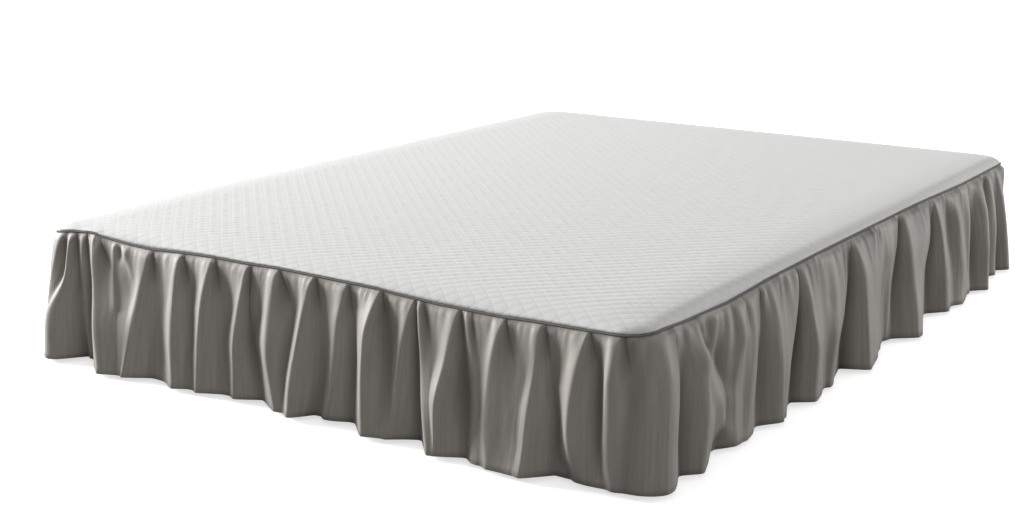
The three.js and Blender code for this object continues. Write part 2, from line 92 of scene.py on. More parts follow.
def soft_noise(x: Array, y: Array | float, seed: int) -> Array:
    """Smooth uneven field, about -1 to 1, with features about one unit wide.

    It is a sum of plane waves, sin(k (x cos a + y sin a) + p), over the square root of their number. The
    headings a, wavenumbers k and phases p are drawn once from the seed.

    Args:
        x: First coordinate, in feature widths.
        y: Second coordinate, in feature widths.
        seed: Picks the waves.

    Returns:
        The field at each point.
    """
    draw = np.random.default_rng(seed)
    heading = draw.uniform(0.0, 2.0 * np.pi, NOISE_WAVES)
    wavenumber = draw.uniform(*NOISE_WAVENUMBERS, NOISE_WAVES)
    phase = draw.uniform(0.0, 2.0 * np.pi, NOISE_WAVES)
    total = np.zeros(np.broadcast(x, y).shape)
    for a, k, p in zip(heading, wavenumber, phase):
        total += np.sin(k * (x * math.cos(a) + y * math.sin(a)) + p)
    return total / math.sqrt(NOISE_WAVES)


def grid_faces(rows: int, columns: int, ring: bool, tube: bool = False) -> Array:
    """Quads of a grid of points held row by row, each running along its row and then to the next row.

    Args:
        rows: Number of rows of points.
        columns: Number of points in a row.
        ring: True to join each row's last point to its first.
        tube: True to join the last row to the first.

    Returns:
        Corner indices, one quad a line.
    """
    row_count = rows if tube else rows - 1
    column_count = columns if ring else columns - 1
    row, column = np.meshgrid(np.arange(row_count), np.arange(column_count), indexing="ij")
    start, below = row * columns, (row + 1) % rows * columns
    beside = (column + 1) % columns
    return np.stack([start + column, start + beside, below + beside, below + column], -1).reshape(-1, 4)


def make_mesh(name: str, points: Array, faces: Sequence[Array], uv: Array | None = None) -> bpy.types.Object:
    """Put points and faces into a smooth-shaded mesh object at the origin.

    Args:
        name: Name of the piece.
        points: Places of the vertices, one a line.
        faces: Index arrays, each with one face a line; arrays may differ in corners per face.
        uv: Cloth coordinates of every face corner, in the order of the faces, or None.

    Returns:
        The new object, in the scene.
    """
    corners = np.concatenate([f.ravel() for f in faces]).astype(np.int32)
    sizes = np.concatenate([np.full(len(f), f.shape[1], np.int32) for f in faces])
    starts = np.concatenate([[0], np.cumsum(sizes)[:-1]]).astype(np.int32)
    mesh = bpy.data.meshes.new(name)
    mesh.vertices.add(len(points))
    mesh.vertices.foreach_set("co", points.astype(np.float32).ravel())
    mesh.loops.add(len(corners))
    mesh.loops.foreach_set("vertex_index", corners)
    mesh.polygons.add(len(sizes))
    mesh.polygons.foreach_set("loop_start", starts)
    mesh.polygons.foreach_set("use_smooth", np.ones(len(sizes), bool))
    mesh.update(calc_edges=True)
    if uv is not None:
        layer = mesh.uv_layers.new(name="cloth")
        layer.data.foreach_set("uv", uv.astype(np.float32).ravel())
    mesh.validate()
    piece = bpy.data.objects.new(name, mesh)
    bpy.context.scene.collection.objects.link(piece)
    return piece


# ---------------------------------------------------------------- the plan of the seam

# Seam line: (place along the side, height over the level seam), in millimetres, straight between rows.
SEAM_RISES = {
    Side.FOOT: [
        (0, -9), (47, 0), (81, 2), (100, 4), (119, 4), (140, 0), (234, -6), (302, -7), (394, -1),
        (476, 2), (565, 2), (654, 5), (917, 3), (951, 0), (1055, -4), (1200, -5), (1279, -1.5), (1474, 3),
    ],
    Side.RIGHT: [
        (0, 3), (50, 5), (124, 0), (298, -5), (397, -2), (468, 1), (706, 3.5),
        (972, 4), (1280, 4.5), (1436, 1), (1620, -3), (1780, -2), (1974, 0),
    ],
    Side.HEAD: [(0, 0), (260, 3), (560, -3), (860, 2), (1180, -3), (1474, 0)],
    Side.LEFT: [
        (0, 0), (320, -3), (640, 3), (980, -2), (1320, 4), (1640, 0), (1865, -6), (1900, -7), (1974, -9),
    ],
}


@dataclass(frozen=True)
class BedPlan:
    """The seam seen from above: a rounded rectangle, read by the distance round it.

    Distances start in the middle of the front left corner and run anticlockwise: foot, right, head, left.
    """

    width: float
    length: float
    panel_top: float
    corner_radius: float = 60 * MM
    seam_below_top: float = 23 * MM
    pulled_out: float = 23 * MM
    pull_reach: float = 40 * MM
    droop_depth: float = 5 * MM
    droop_reach: float = 230 * MM
    crown: float = 9 * MM
    crown_reach: float = 120 * MM

    @classmethod
    def from_frame(cls) -> "BedPlan":
        """Read the finished size of the panel from its node."""
        low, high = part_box("top_panel")
        return cls(width=high.x - low.x, length=high.y - low.y, panel_top=high.z)

    @property
    def seam_height(self) -> float:
        """Height of the level seam line."""
        return self.panel_top - self.seam_below_top

    @property
    def corner_arc(self) -> float:
        """Length of the seam round one corner."""
        return math.pi / 2 * self.corner_radius

    @property
    def side_lengths(self) -> Array:
        """Lengths of the four sides, each from mid-corner to mid-corner: straight part and one arc."""
        short, long = (size - 2 * self.corner_radius + self.corner_arc for size in (self.width, self.length))
        return np.array([short, long, short, long])

    @property
    def side_starts(self) -> Array:
        """Distance round the seam at which each side starts."""
        return np.concatenate([[0.0], np.cumsum(self.side_lengths)[:-1]])

    @property
    def round(self) -> float:
        """Distance once round the seam."""
        return float(self.side_lengths.sum())

    def outline(self, distance: Array, inset: Array | float = 0.0) -> tuple[Array, Array]:
        """Points of the outline, and its outward normals, at distances round the seam.

        On the straight parts the point moves along the side; round a corner it turns about the corner's
        centre, at the corner radius less the inset.

        Args:
            distance: Distances round the seam.
            inset: How far in from the seam.

        Returns:
            Points and unit normals in plan, each with a last axis of x and y.
        """
        place = np.mod(distance, self.round)
        side = np.searchsorted(self.side_starts, place, side="right") - 1
        place = place - self.side_starts[side]
        across = side % 2 == 0
        half_along = np.where(across, self.width, self.length) / 2 - self.corner_radius
        half_out = np.where(across, self.length, self.width) / 2 - self.corner_radius
        from_middle = place - self.corner_arc / 2 - half_along
        along = np.clip(from_middle, -half_along, half_along)
        turn = (from_middle - along) / self.corner_radius
        facing = (side - 1) * (math.pi / 2)
        radius = self.corner_radius - inset
        u = along + radius * np.sin(turn)
        v = half_out + radius * np.cos(turn)
        normal = np.stack([np.cos(facing + turn), np.sin(facing + turn)], -1)
        x = v * np.cos(facing) - u * np.sin(facing)
        y = v * np.sin(facing) + u * np.cos(facing)
        return self.pulled(np.stack([x, y], -1)), normal

    def bell(self, point: Array, reach: float) -> Array:
        """A bell about the middle of the front left corner's arc: exp(-(distance / reach)^2).

        Args:
            point: Points in plan.
            reach: Distance at which the bell has fallen to 1 / e.

        Returns:
            The bell's height at each point, 1 at its middle.
        """
        round_off = self.corner_radius * (1 - math.sqrt(0.5))
        middle = np.array([round_off - self.width / 2, round_off - self.length / 2])
        return np.exp(-((point - middle) ** 2).sum(-1) / reach ** 2)

    def pulled(self, point: Array) -> Array:
        """Points in plan with the front left corner pulled outwards along its diagonal."""
        return point - self.pulled_out * math.sqrt(0.5) * self.bell(point, self.pull_reach)[..., None]

    def droop(self, point: Array) -> Array:
        """How far the top sinks: towards the front left corner, and from a crown towards every side.

        In from a side the crown rises as 1 - (1 - inward / crown_reach)^2 and then stays level, and the
        rises of the two directions are multiplied.

        Args:
            point: Points in plan.

        Returns:
            Depth below the top at each point.
        """
        inward = np.array([self.width, self.length]) / 2 - np.abs(point)
        level = 1 - np.clip(1 - inward / self.crown_reach, 0.0, 1.0) ** 2
        sunk = self.crown * (1 - level[..., 0] * level[..., 1])
        return sunk + self.droop_depth * self.bell(point, self.droop_reach)

    def seam_rise(self, distance: Array) -> Array:
        """Height of the seam over its level line.

        Args:
            distance: Distances round the seam.

        Returns:
            The height at each, straight between the rows of SEAM_RISES.
        """
        places = [self.side_starts[side] + MM * row[0] for side, rows in SEAM_RISES.items() for row in rows]
        rises = [MM * row[1] for rows in SEAM_RISES.values() for row in rows]
        return np.interp(np.mod(distance, self.round), places, rises)


# ---------------------------------------------------------------- the folds of the skirt


class Knot(NamedTuple):
    """A line down the skirt where it turns: the crest of a fold or the bottom of a valley, in millimetres.

    Places are along its side, at the seam, at the two levels of LEVELS between, and at the hem. Outs are
    stand-outs from the seam's outline at the same levels below the seam. gather is the share of the
    gathering that the line takes.
    """

    gather: float
    seam: float
    upper: float
    lower: float
    hem: float
    out_upper: float
    out_lower: float
    out_hem: float

    @property
    def places(self) -> tuple[float, ...]:
        """Places at LEVELS."""
        return self.seam, self.upper, self.lower, self.hem

    @property
    def outs(self) -> tuple[float, ...]:
        """Stand-outs at LEVELS, none at the seam."""
        return 0.0, self.out_upper, self.out_lower, self.out_hem


# Shares of the drop at which the knots are given.
LEVELS = np.array([0.0, 0.3, 0.65, 1.0])

# Shares of the gathering.
CREST, SOFT_CREST, VALLEY = 1.0, 0.6, 0.0

FOOT_KNOTS = [
    Knot(CREST, 28, 14, -6, -4, 22, 32, 40),
    Knot(VALLEY, 40, 36, 8, 8, 8, 30, 46),
    Knot(CREST, 51, 53, 34, 38, 25, 54, 76),
    Knot(VALLEY, 66, 70, 78, 85, 6, 13, 14),
    Knot(CREST, 82, 90, 96, 97, 15, 22, 25),
    Knot(VALLEY, 94, 97, 101, 101, 4, 14, 24),
    Knot(CREST, 118, 143, 172, 194, 32, 67, 88),
    Knot(VALLEY, 134, 196, 226, 236, 18, 50, 68),
    Knot(CREST, 292, 281, 269, 257, 25, 49, 73),
    Knot(VALLEY, 303, 315, 318, 316, 12, 27, 40),
    Knot(CREST, 386, 388, 393, 399, 33, 54, 64),
    Knot(VALLEY, 396, 420, 433, 430, 10, 28, 45),
    Knot(CREST, 477, 472, 467, 462, 31, 48, 53),
    Knot(VALLEY, 488, 508, 514, 515, 9, 18, 27),
    Knot(CREST, 577, 571, 561, 553, 21, 40, 36),
    Knot(VALLEY, 588, 583, 592, 606, 5, 5, 6),
    Knot(CREST, 660, 656, 659, 673, 25, 45, 44),
    Knot(VALLEY, 667, 703, 695, 686, 7, 25, 42),
    Knot(CREST, 752, 741, 729, 720, 24, 44, 55),
    Knot(VALLEY, 763, 776, 773, 754, 5, 8, 13),
    Knot(CREST, 840, 826, 812, 787, 16, 21, 22),
    Knot(VALLEY, 847, 860, 852, 844, 3, 3, 2),
    Knot(CREST, 921, 914, 908, 906, 44, 53, 51),
    Knot(VALLEY, 930, 943, 948, 944, 7, 20, 39),
    Knot(CREST, 1003, 991, 977, 960, 23, 29, 36),
    Knot(VALLEY, 1009, 1015, 1015, 1013, 4, 4, 3),
    Knot(CREST, 1018, 1036, 1054, 1070, 21, 46, 60),
    Knot(VALLEY, 1028, 1056, 1070, 1078, 17, 46, 56),
    Knot(CREST, 1107, 1100, 1091, 1086, 27, 55, 54),
    Knot(VALLEY, 1113, 1123, 1127, 1139, 5, 12, 27),
    Knot(CREST, 1128, 1146, 1159, 1163, 15, 25, 40),
    Knot(VALLEY, 1138, 1157, 1168, 1172, 13, 24, 43),
    Knot(CREST, 1208, 1194, 1190, 1203, 25, 34, 51),
    Knot(VALLEY, 1213, 1238, 1243, 1240, 12, 28, 51),
    Knot(CREST, 1288, 1285, 1280, 1276, 17, 39, 53),
    Knot(VALLEY, 1299, 1312, 1326, 1322, 2, 2, 2),
    Knot(CREST, 1384, 1373, 1367, 1366, 26, 36, 9),
    Knot(VALLEY, 1392, 1413, 1414, 1415, 4, 5, 8),
    Knot(CREST, 1446, 1440, 1440, 1442, 28, 29, 12),
    Knot(VALLEY, 1457, 1470, 1462, 1456, 14, 16, 11),
]

RIGHT_KNOTS = [
    Knot(CREST, 40, 32, 31, 31, 34, 42, 42),
    Knot(VALLEY, 88, 95, 98, 103, 9, 9, 11),
    Knot(CREST, 150, 147, 143, 141, 36, 50, 45),
    Knot(VALLEY, 180, 215, 262, 238, 1, 13, 8),
    Knot(CREST, 350, 312, 296, 296, 24, 24, 30),
    Knot(VALLEY, 362, 335, 318, 312, 17, 24, 33),
    Knot(CREST, 385, 368, 350, 332, 18, 32, 37),
    Knot(VALLEY, 432, 424, 414, 408, 8, 10, 15),
    Knot(CREST, 460, 462, 463, 465, 31, 46, 51),
    Knot(VALLEY, 520, 505, 500, 485, 18, 30, 44),
    Knot(CREST, 588, 576, 548, 505, 13, 22, 38),
    Knot(VALLEY, 598, 601, 585, 576, 4, 6, 11),
    Knot(CREST, 612, 612, 612, 612, 31, 56, 56),
    Knot(VALLEY, 690, 690, 675, 688, 17, 36, 36),
    Knot(CREST, 770, 752, 731, 716, 25, 45, 43),
    Knot(VALLEY, 872, 868, 848, 838, 6, 7, 7),
    Knot(CREST, 890, 887, 879, 870, 33, 54, 69),
    Knot(SOFT_CREST, 1005, 958, 930, 915, 30, 50, 62),
    Knot(VALLEY, 1020, 1032, 1056, 1076, 12, 12, 13),
    Knot(CREST, 1110, 1101, 1099, 1094, 16, 18, 15),
    Knot(VALLEY, 1150, 1150, 1135, 1108, 6, 8, 21),
    Knot(CREST, 1178, 1172, 1180, 1158, 28, 46, 74),
    Knot(SOFT_CREST, 1300, 1288, 1232, 1182, 28, 44, 72),
    Knot(VALLEY, 1382, 1385, 1362, 1352, 3, 8, 14),
    Knot(CREST, 1395, 1400, 1402, 1412, 28, 48, 58),
    Knot(VALLEY, 1467, 1476, 1474, 1450, 10, 26, 50),
    Knot(CREST, 1500, 1518, 1526, 1497, 28, 48, 67),
    Knot(VALLEY, 1590, 1600, 1606, 1592, 14, 26, 44),
    Knot(CREST, 1630, 1632, 1624, 1606, 20, 30, 45),
    Knot(VALLEY, 1662, 1652, 1638, 1622, 6, 20, 38),
    Knot(CREST, 1722, 1700, 1680, 1668, 40, 66, 78),
    Knot(VALLEY, 1770, 1762, 1756, 1752, 8, 18, 26),
    Knot(CREST, 1800, 1808, 1818, 1826, 24, 39, 46),
    Knot(VALLEY, 1850, 1856, 1862, 1868, 8, 15, 22),
    Knot(CREST, 1885, 1890, 1900, 1908, 28, 48, 58),
    Knot(VALLEY, 1925, 1930, 1938, 1944, 10, 22, 34),
]


@dataclass(frozen=True)
class Wander:
    """A value that wanders from fold to fold: middle + swing sin(rate i + phase) at fold number i."""

    middle: float
    swing: float
    rate: float

    def at(self, i: int, phase: float) -> float:
        """The value at fold number i."""
        return self.middle + self.swing * math.sin(self.rate * i + phase)


@dataclass(frozen=True)
class PlainFolds:
    """Folds at an even pitch whose places and stand-outs wander in slow waves.

    Places and widths are in pitches, and stand-outs in millimetres. The leans say how far each line has
    gone from its place at the seam to its place at the hem by each of LEVELS, and the openings what share
    of its full stand-out it has at each of them below the seam. The tuck is from a crest to its valley at
    the seam.
    """

    count: int
    phase: float
    seam: Wander = Wander(0.42, 0.14, 2.4)
    hem: Wander = Wander(0.0, 0.12, 1.3)
    crest_out: Wander = Wander(44, 12, 1.9)
    crest_lean: tuple[float, ...] = (0.0, 0.45, 0.8, 1.0)
    crest_opening: tuple[float, ...] = (0.55, 0.9, 1.0)
    tuck: float = 0.15
    valley_width: Wander = Wander(0.38, 0.05, 3.1)
    valley_out: Wander = Wander(14, 9, 2.7)
    valley_phase: float = 1.0
    valley_lean: tuple[float, ...] = (0.0, 0.7, 0.9, 1.0)
    valley_opening: tuple[float, ...] = (0.3, 0.6, 1.0)

    def knots(self, length: float) -> list[Knot]:
        """Lay out the folds on one side.

        Args:
            length: Length of the side, in millimetres.

        Returns:
            The crests and valleys, in order.
        """
        pitch = length / self.count
        knots = []
        for i in range(self.count):
            seam = (i + self.seam.at(i, self.phase)) * pitch
            hem = seam + self.hem.at(i, 2 * self.phase) * pitch
            out = self.crest_out.at(i, self.phase)
            places = [lerp(seam, hem, share) for share in self.crest_lean]
            knots.append(Knot(CREST, *places, *(out * share for share in self.crest_opening)))
            seam, hem = seam + self.tuck * pitch, hem + self.valley_width.at(i, 0.0) * pitch
            out = self.valley_out.at(i, self.valley_phase + self.phase)
            places = [lerp(seam, hem, share) for share in self.valley_lean]
            knots.append(Knot(VALLEY, *places, *(out * share for share in self.valley_opening)))
        return knots


def down_curve(levels: Array, values: Array, share: Array, first_slope: float = 1.0) -> Array:
    """Smooth curves down the drop through values at the levels, which never swing past them.

    Each stretch is a cubic. Its slope at an inner level is the weighted harmonic mean of the two chords'
    slopes, or 0 where they differ in sign. At the top it is a share of the chord's, and at the hem the
    chord's own.

    Args:
        levels: Shares of the drop, in order.
        values: A row for each level and a column for each line.
        share: Shares at which to read the curves.
        first_slope: Slope at the top, as a share of the first chord's.

    Returns:
        A row for each share and a column for each line.
    """
    step = np.diff(levels)[:, None]
    chord = np.diff(values, axis=0) / step
    before, after = chord[:-1], chord[1:]
    heavy, light = 2 * step[1:] + step[:-1], step[1:] + 2 * step[:-1]
    same = before * after > 0
    mean = (heavy + light) / (heavy / np.where(same, before, 1.0) + light / np.where(same, after, 1.0))
    slope = np.concatenate([chord[:1] * first_slope, np.where(same, mean, 0.0), chord[-1:]])
    span = np.clip(np.searchsorted(levels, share, side="right") - 1, 0, len(levels) - 2)
    width = step[span]
    t = ((share - levels[span]) / step[span, 0])[:, None]
    bend = slope[span] * t * (1 - t) ** 2 - slope[span + 1] * t * t * (1 - t)
    return lerp(values[span], values[span + 1], t * t * (3 - 2 * t)) + width * bend


class Crease(NamedTuple):
    """A soft crease laid on the skirt, in millimetres.

    It runs straight from point to point, each (place along the side, depth below the seam). A positive
    height is a ridge and a negative one a trough; width is from its line to its foot.
    """

    side: Side
    width: float
    height: float
    points: tuple[tuple[float, float], ...]

    def relief(self, plan: BedPlan, distance: Array, depth: Array) -> Array:
        """Height of the crease: height exp(-(way to its line / width)^2).

        Args:
            plan: The plan of the seam.
            distance: Distance round the seam of each point of the cloth.
            depth: Depth of each point below the top edge.

        Returns:
            Height over the folds, in metres.
        """
        line = np.array(self.points) * MM + (plan.side_starts[self.side], 0.0)
        near = np.full(distance.shape, np.inf)
        for start, end in zip(line[:-1], line[1:]):
            way = end - start
            off = np.stack([distance - start[0], depth - start[1]])
            along = np.clip((off[0] * way[0] + off[1] * way[1]) / (way @ way), 0, 1)
            near = np.minimum(near, np.hypot(off[0] - along * way[0], off[1] - along * way[1]))
        return self.height * MM * np.exp(-(near / (self.width * MM)) ** 2)


CREASES = [
    Crease(Side.FOOT, 7, 4, ((186, 6), (184, 36), (190, 70), (200, 105), (212, 137))),
    Crease(Side.FOOT, 7, 2.5, ((213, 10), (233, 36), (245, 60))),
    Crease(Side.FOOT, 8, -4, ((200, 14), (203, 30))),
    Crease(Side.RIGHT, 15, 6, ((152, 62), (180, 112), (212, 150), (242, 192), (280, 250))),
    Crease(Side.RIGHT, 20, -4, ((190, 165), (215, 215), (235, 262))),
    Crease(Side.RIGHT, 20, -5, ((190, 14), (222, 62), (258, 112), (280, 150))),
    Crease(Side.RIGHT, 9, 3, ((178, 2), (205, 32), (232, 60))),
]


@dataclass(frozen=True)
class Gathers:
    """Small puckers that the gathering leaves under the seam.

    Pairs are the least and the most of what is drawn for each pucker: lengths, shifts along the seam and
    widths in pitches, heights as shares of the depth, and leans as the way sideways for each unit down.
    The reach is how many pitches to either side a pucker is worked out to.
    """

    pitch: float = 11 * MM
    depth: float = 1.8 * MM
    lengths: tuple[float, float] = (14 * MM, 60 * MM)
    seed: int = 11
    side: Side | None = None
    shifts: tuple[float, float] = (-0.35, 0.35)
    widths: tuple[float, float] = (0.28, 0.5)
    heights: tuple[float, float] = (0.35, 1.0)
    leans: tuple[float, float] = (-0.12, 0.12)
    reach: float = 6.0

    def relief(self, plan: BedPlan, distance: Array, depth: Array) -> Array:
        """Stand-out of the puckers: narrow ridges, each with its own place, width, lean and length.

        Each ridge is height exp(-(off / width)^2) exp(-(depth / length)^2), with off from its leaning
        line, and it widens down its length.

        Args:
            plan: The plan of the seam.
            distance: Distance round the seam of each point of the cloth.
            depth: Depth of each point below the top edge.

        Returns:
            Height over the folds.
        """
        count = int(plan.round / self.pitch)
        draw = np.random.default_rng(self.seed)
        places = (np.arange(count) + draw.uniform(*self.shifts, count)) * plan.round / count
        widths = self.pitch * draw.uniform(*self.widths, count)
        heights = self.depth * draw.uniform(*self.heights, count)
        lengths = draw.uniform(*self.lengths, count)
        leans = draw.uniform(*self.leans, count)
        if self.side is not None:
            start = plan.side_starts[self.side]
            heights *= (places > start) & (places < start + plan.side_lengths[self.side])
        total = np.zeros(distance.shape)
        for place, width, height, length, lean in zip(places, widths, heights, lengths, leans):
            off = np.mod(distance - place + plan.round / 2, plan.round) - plan.round / 2
            near = np.abs(off[0]) < self.reach * self.pitch
            down = depth[:, near] / length
            across = (off[:, near] - lean * depth[:, near]) / (width * (1 + down))
            total[:, near] += height * np.exp(-across ** 2) * np.exp(-down ** 2)
        return total


# ---------------------------------------------------------------- shader maths


class Amount:
    """A number that varies over a surface. It wraps a socket, and its operators add Math nodes."""

    def __init__(self, tree: bpy.types.NodeTree, socket: bpy.types.NodeSocket) -> None:
        """Wrap a socket of a node tree."""
        self.tree = tree
        self.socket = socket

    def maths(self, operation: str, *values: "Amount | float") -> "Amount":
        """Add one Math node.

        Args:
            operation: The node's operation.
            values: Its inputs, in order.

        Returns:
            The node's result.
        """
        node = self.tree.nodes.new("ShaderNodeMath")
        node.operation = operation
        for slot, value in zip(node.inputs, values):
            if isinstance(value, Amount):
                self.tree.links.new(value.socket, slot)
            else:
                slot.default_value = value
        return Amount(self.tree, node.outputs[0])

    def __add__(self, other: "Amount | float") -> "Amount":
        """Sum."""
        return self.maths("ADD", self, other)

    __radd__ = __add__

    def __sub__(self, other: "Amount | float") -> "Amount":
        """Difference."""
        return self.maths("SUBTRACT", self, other)

    def __rsub__(self, other: float) -> "Amount":
        """Difference from a number."""
        return self.maths("SUBTRACT", other, self)

    def __mul__(self, other: "Amount | float") -> "Amount":
        """Product."""
        return self.maths("MULTIPLY", self, other)

    __rmul__ = __mul__

    def __truediv__(self, other: "Amount | float") -> "Amount":
        """Quotient."""
        return self.maths("DIVIDE", self, other)

    def __pow__(self, other: float) -> "Amount":
        """Power."""
        return self.maths("POWER", self, other)

    def __abs__(self) -> "Amount":
        """Size without sign."""
        return self.maths("ABSOLUTE", self)

    def sine(self) -> "Amount":
        """Sine, of radians."""
        return self.maths("SINE", self)

    def capped(self) -> "Amount":
        """The value kept from 0 to 1."""
        return self.maths("MINIMUM", self.maths("MAXIMUM", self, 0.0), 1.0)


# A Mix node's sockets go by number, because its colours share their names with its plain numbers.
MIX_FACTOR = 0
MIX_NUMBERS = (2, 3)
MIX_COLOURS = (6, 7)
MIX_COLOUR_OUT = 2


class Nodes:
    """A node tree, emptied, and the ways to add nodes to it."""

    def __init__(self, tree: bpy.types.NodeTree) -> None:
        """Take a tree and empty it."""
        self.tree = tree
        self.tree.nodes.clear()

    def node(
        self, kind: str, settings: dict[str, object] | None = None, inputs: dict[object, object] | None = None
    ) -> bpy.types.Node:
        """Add a node.

        Args:
            kind: The node's type.
            settings: Properties, set first.
            inputs: Values or links of its sockets, by name or number.

        Returns:
            The node.
        """
        node = self.tree.nodes.new(kind)
        for key, value in (settings or {}).items():
            setattr(node, key, value)
        for key, value in (inputs or {}).items():
            self.feed(node.inputs[key], value)
        return node

    def feed(self, slot: bpy.types.NodeSocket, value: object) -> None:
        """Link a socket or an amount to a socket, or set a plain value on it.

        Args:
            slot: The socket to feed.
            value: What feeds it.
        """
        if isinstance(value, Amount):
            value = value.socket
        if isinstance(value, bpy.types.NodeSocket):
            self.tree.links.new(value, slot)
        else:
            slot.default_value = value

    def amount(self, socket: bpy.types.NodeSocket) -> Amount:
        """Wrap a socket as an amount."""
        return Amount(self.tree, socket)


class Surface(Nodes):
    """The node tree of one material: a Principled surface and what feeds it."""

    def __init__(self, name: str, constants: dict[str, object]) -> None:
        """Start a material.

        Args:
            name: Name of the material.
            constants: Values set on the Principled shader's own sockets.
        """
        self.material = bpy.data.materials.new(name)
        self.material.use_nodes = True
        super().__init__(self.material.node_tree)
        self.shader = self.node("ShaderNodeBsdfPrincipled", inputs=constants)
        self.output = self.node("ShaderNodeOutputMaterial", inputs={"Surface": self.shader.outputs[0]})

    def cloth_place(self, size: tuple[float, float]) -> tuple[bpy.types.NodeSocket, Amount, Amount]:
        """Place on the cloth in metres, from the piece's UV map.

        Args:
            size: Flat size of the cloth that the map's unit square stands for.

        Returns:
            The place as a vector, and its two coordinates.
        """
        uv = self.node("ShaderNodeUVMap", {"uv_map": "cloth"})
        scaled = self.node("ShaderNodeMapping", inputs={"Vector": uv.outputs[0], "Scale": (*size, 1.0)})
        split = self.node("ShaderNodeSeparateXYZ", inputs={0: scaled.outputs[0]})
        return scaled.outputs[0], self.amount(split.outputs[0]), self.amount(split.outputs[1])

    def noise(self, place: bpy.types.NodeSocket, feature: Sequence[float], detail: float) -> Amount:
        """Uneven field from 0 to 1.

        Args:
            place: Place in metres.
            feature: Size of its features along each axis, in metres; a cloth has no third one.
            detail: Number of finer layers.

        Returns:
            The field.
        """
        scale = (*(1.0 / size for size in feature), 1.0)[:3]
        scaled = self.node("ShaderNodeMapping", inputs={"Vector": place, "Scale": scale})
        made = self.node("ShaderNodeTexNoise", inputs={
            "Vector": scaled.outputs[0], "Scale": 1.0, "Detail": detail,
        })
        return self.amount(made.outputs["Fac"])

    def colour_by(self, share: Amount, low: Colour, high: Colour) -> None:
        """Colour the surface from one colour to another.

        Args:
            share: Share of the way from low to high, from 0 to 1.
            low: Colour at 0.
            high: Colour at 1.
        """
        mix = self.node("ShaderNodeMix", {"data_type": "RGBA"}, {
            MIX_FACTOR: share, MIX_COLOURS[0]: (*low, 1.0), MIX_COLOURS[1]: (*high, 1.0),
        })
        self.feed(self.shader.inputs["Base Color"], mix.outputs[MIX_COLOUR_OUT])

    def raise_by(self, height: Amount, depth: float) -> None:
        """Turn the surface's normals as relief of a height times a depth in metres would."""
        made = self.node("ShaderNodeBump", inputs={"Height": height, "Distance": depth, "Strength": 1.0})
        self.feed(self.shader.inputs["Normal"], made.outputs[0])


# ---------------------------------------------------------------- finishes

# The skirt's own attribute of painted shade: how far each point lies in a hollow or a gap, from 0 to 1.
PAINTED_FOLD_SHADE = "painted_fold_shade"


@dataclass(frozen=True)
class QuiltedCloth:
    """Brushed, pale grey polyester, quilted in small diamonds.

    flat is the size of the cloth laid flat, and diamond the width and length of a diamond. The shares
    say how much of the colour is plain, follows the puffs as painted shade along the stitched lines and is
    uneven, and the heights are shares of the relief's depth.
    """

    flat: tuple[float, float]
    diamond: tuple[float, float]
    colour: Colour = (0.668, 0.669, 0.650)
    # Colour of the painted shade along the stitched lines.
    valley: Colour = (0.616, 0.617, 0.600)
    plain_share: float = 0.25
    puff_share: float = 0.6
    mottle_share: float = 0.3
    mottle: float = 60 * MM
    thread: float = 0.9 * MM
    relief: float = 0.8 * MM
    puff_height: float = 0.55
    thread_height: float = 0.1

    def material(self) -> bpy.types.Material:
        """Material with the stitched lines, a little painted shade in them, and a fine knit.

        The puffs are the square root of |sin a sin b|, with a and b across the two sets of stitch lines.

        Returns:
            The material.
        """
        made = Surface("quilted_cloth", {
            "Roughness": 0.85, "Sheen Weight": 0.15, "Sheen Roughness": 0.5, "Specular IOR Level": 0.25,
        })
        place, u, v = made.cloth_place(self.flat)
        a = abs((math.pi * (u / self.diamond[0] + v / self.diamond[1])).sine())
        b = abs((math.pi * (u / self.diamond[0] - v / self.diamond[1])).sine())
        puff = (a * b).capped() ** 0.5
        knit = made.noise(place, (self.thread, self.thread), detail=1.0)
        mottle = made.noise(place, (self.mottle, self.mottle), detail=3.0) - 0.5
        # The share that follows the puffs paints shade into the stitched lines.
        share = self.plain_share + self.puff_share * puff + self.mottle_share * mottle
        made.colour_by(share.capped(), self.valley, self.colour)
        made.raise_by(self.puff_height * puff + self.thread_height * knit, self.relief)
        return made.material


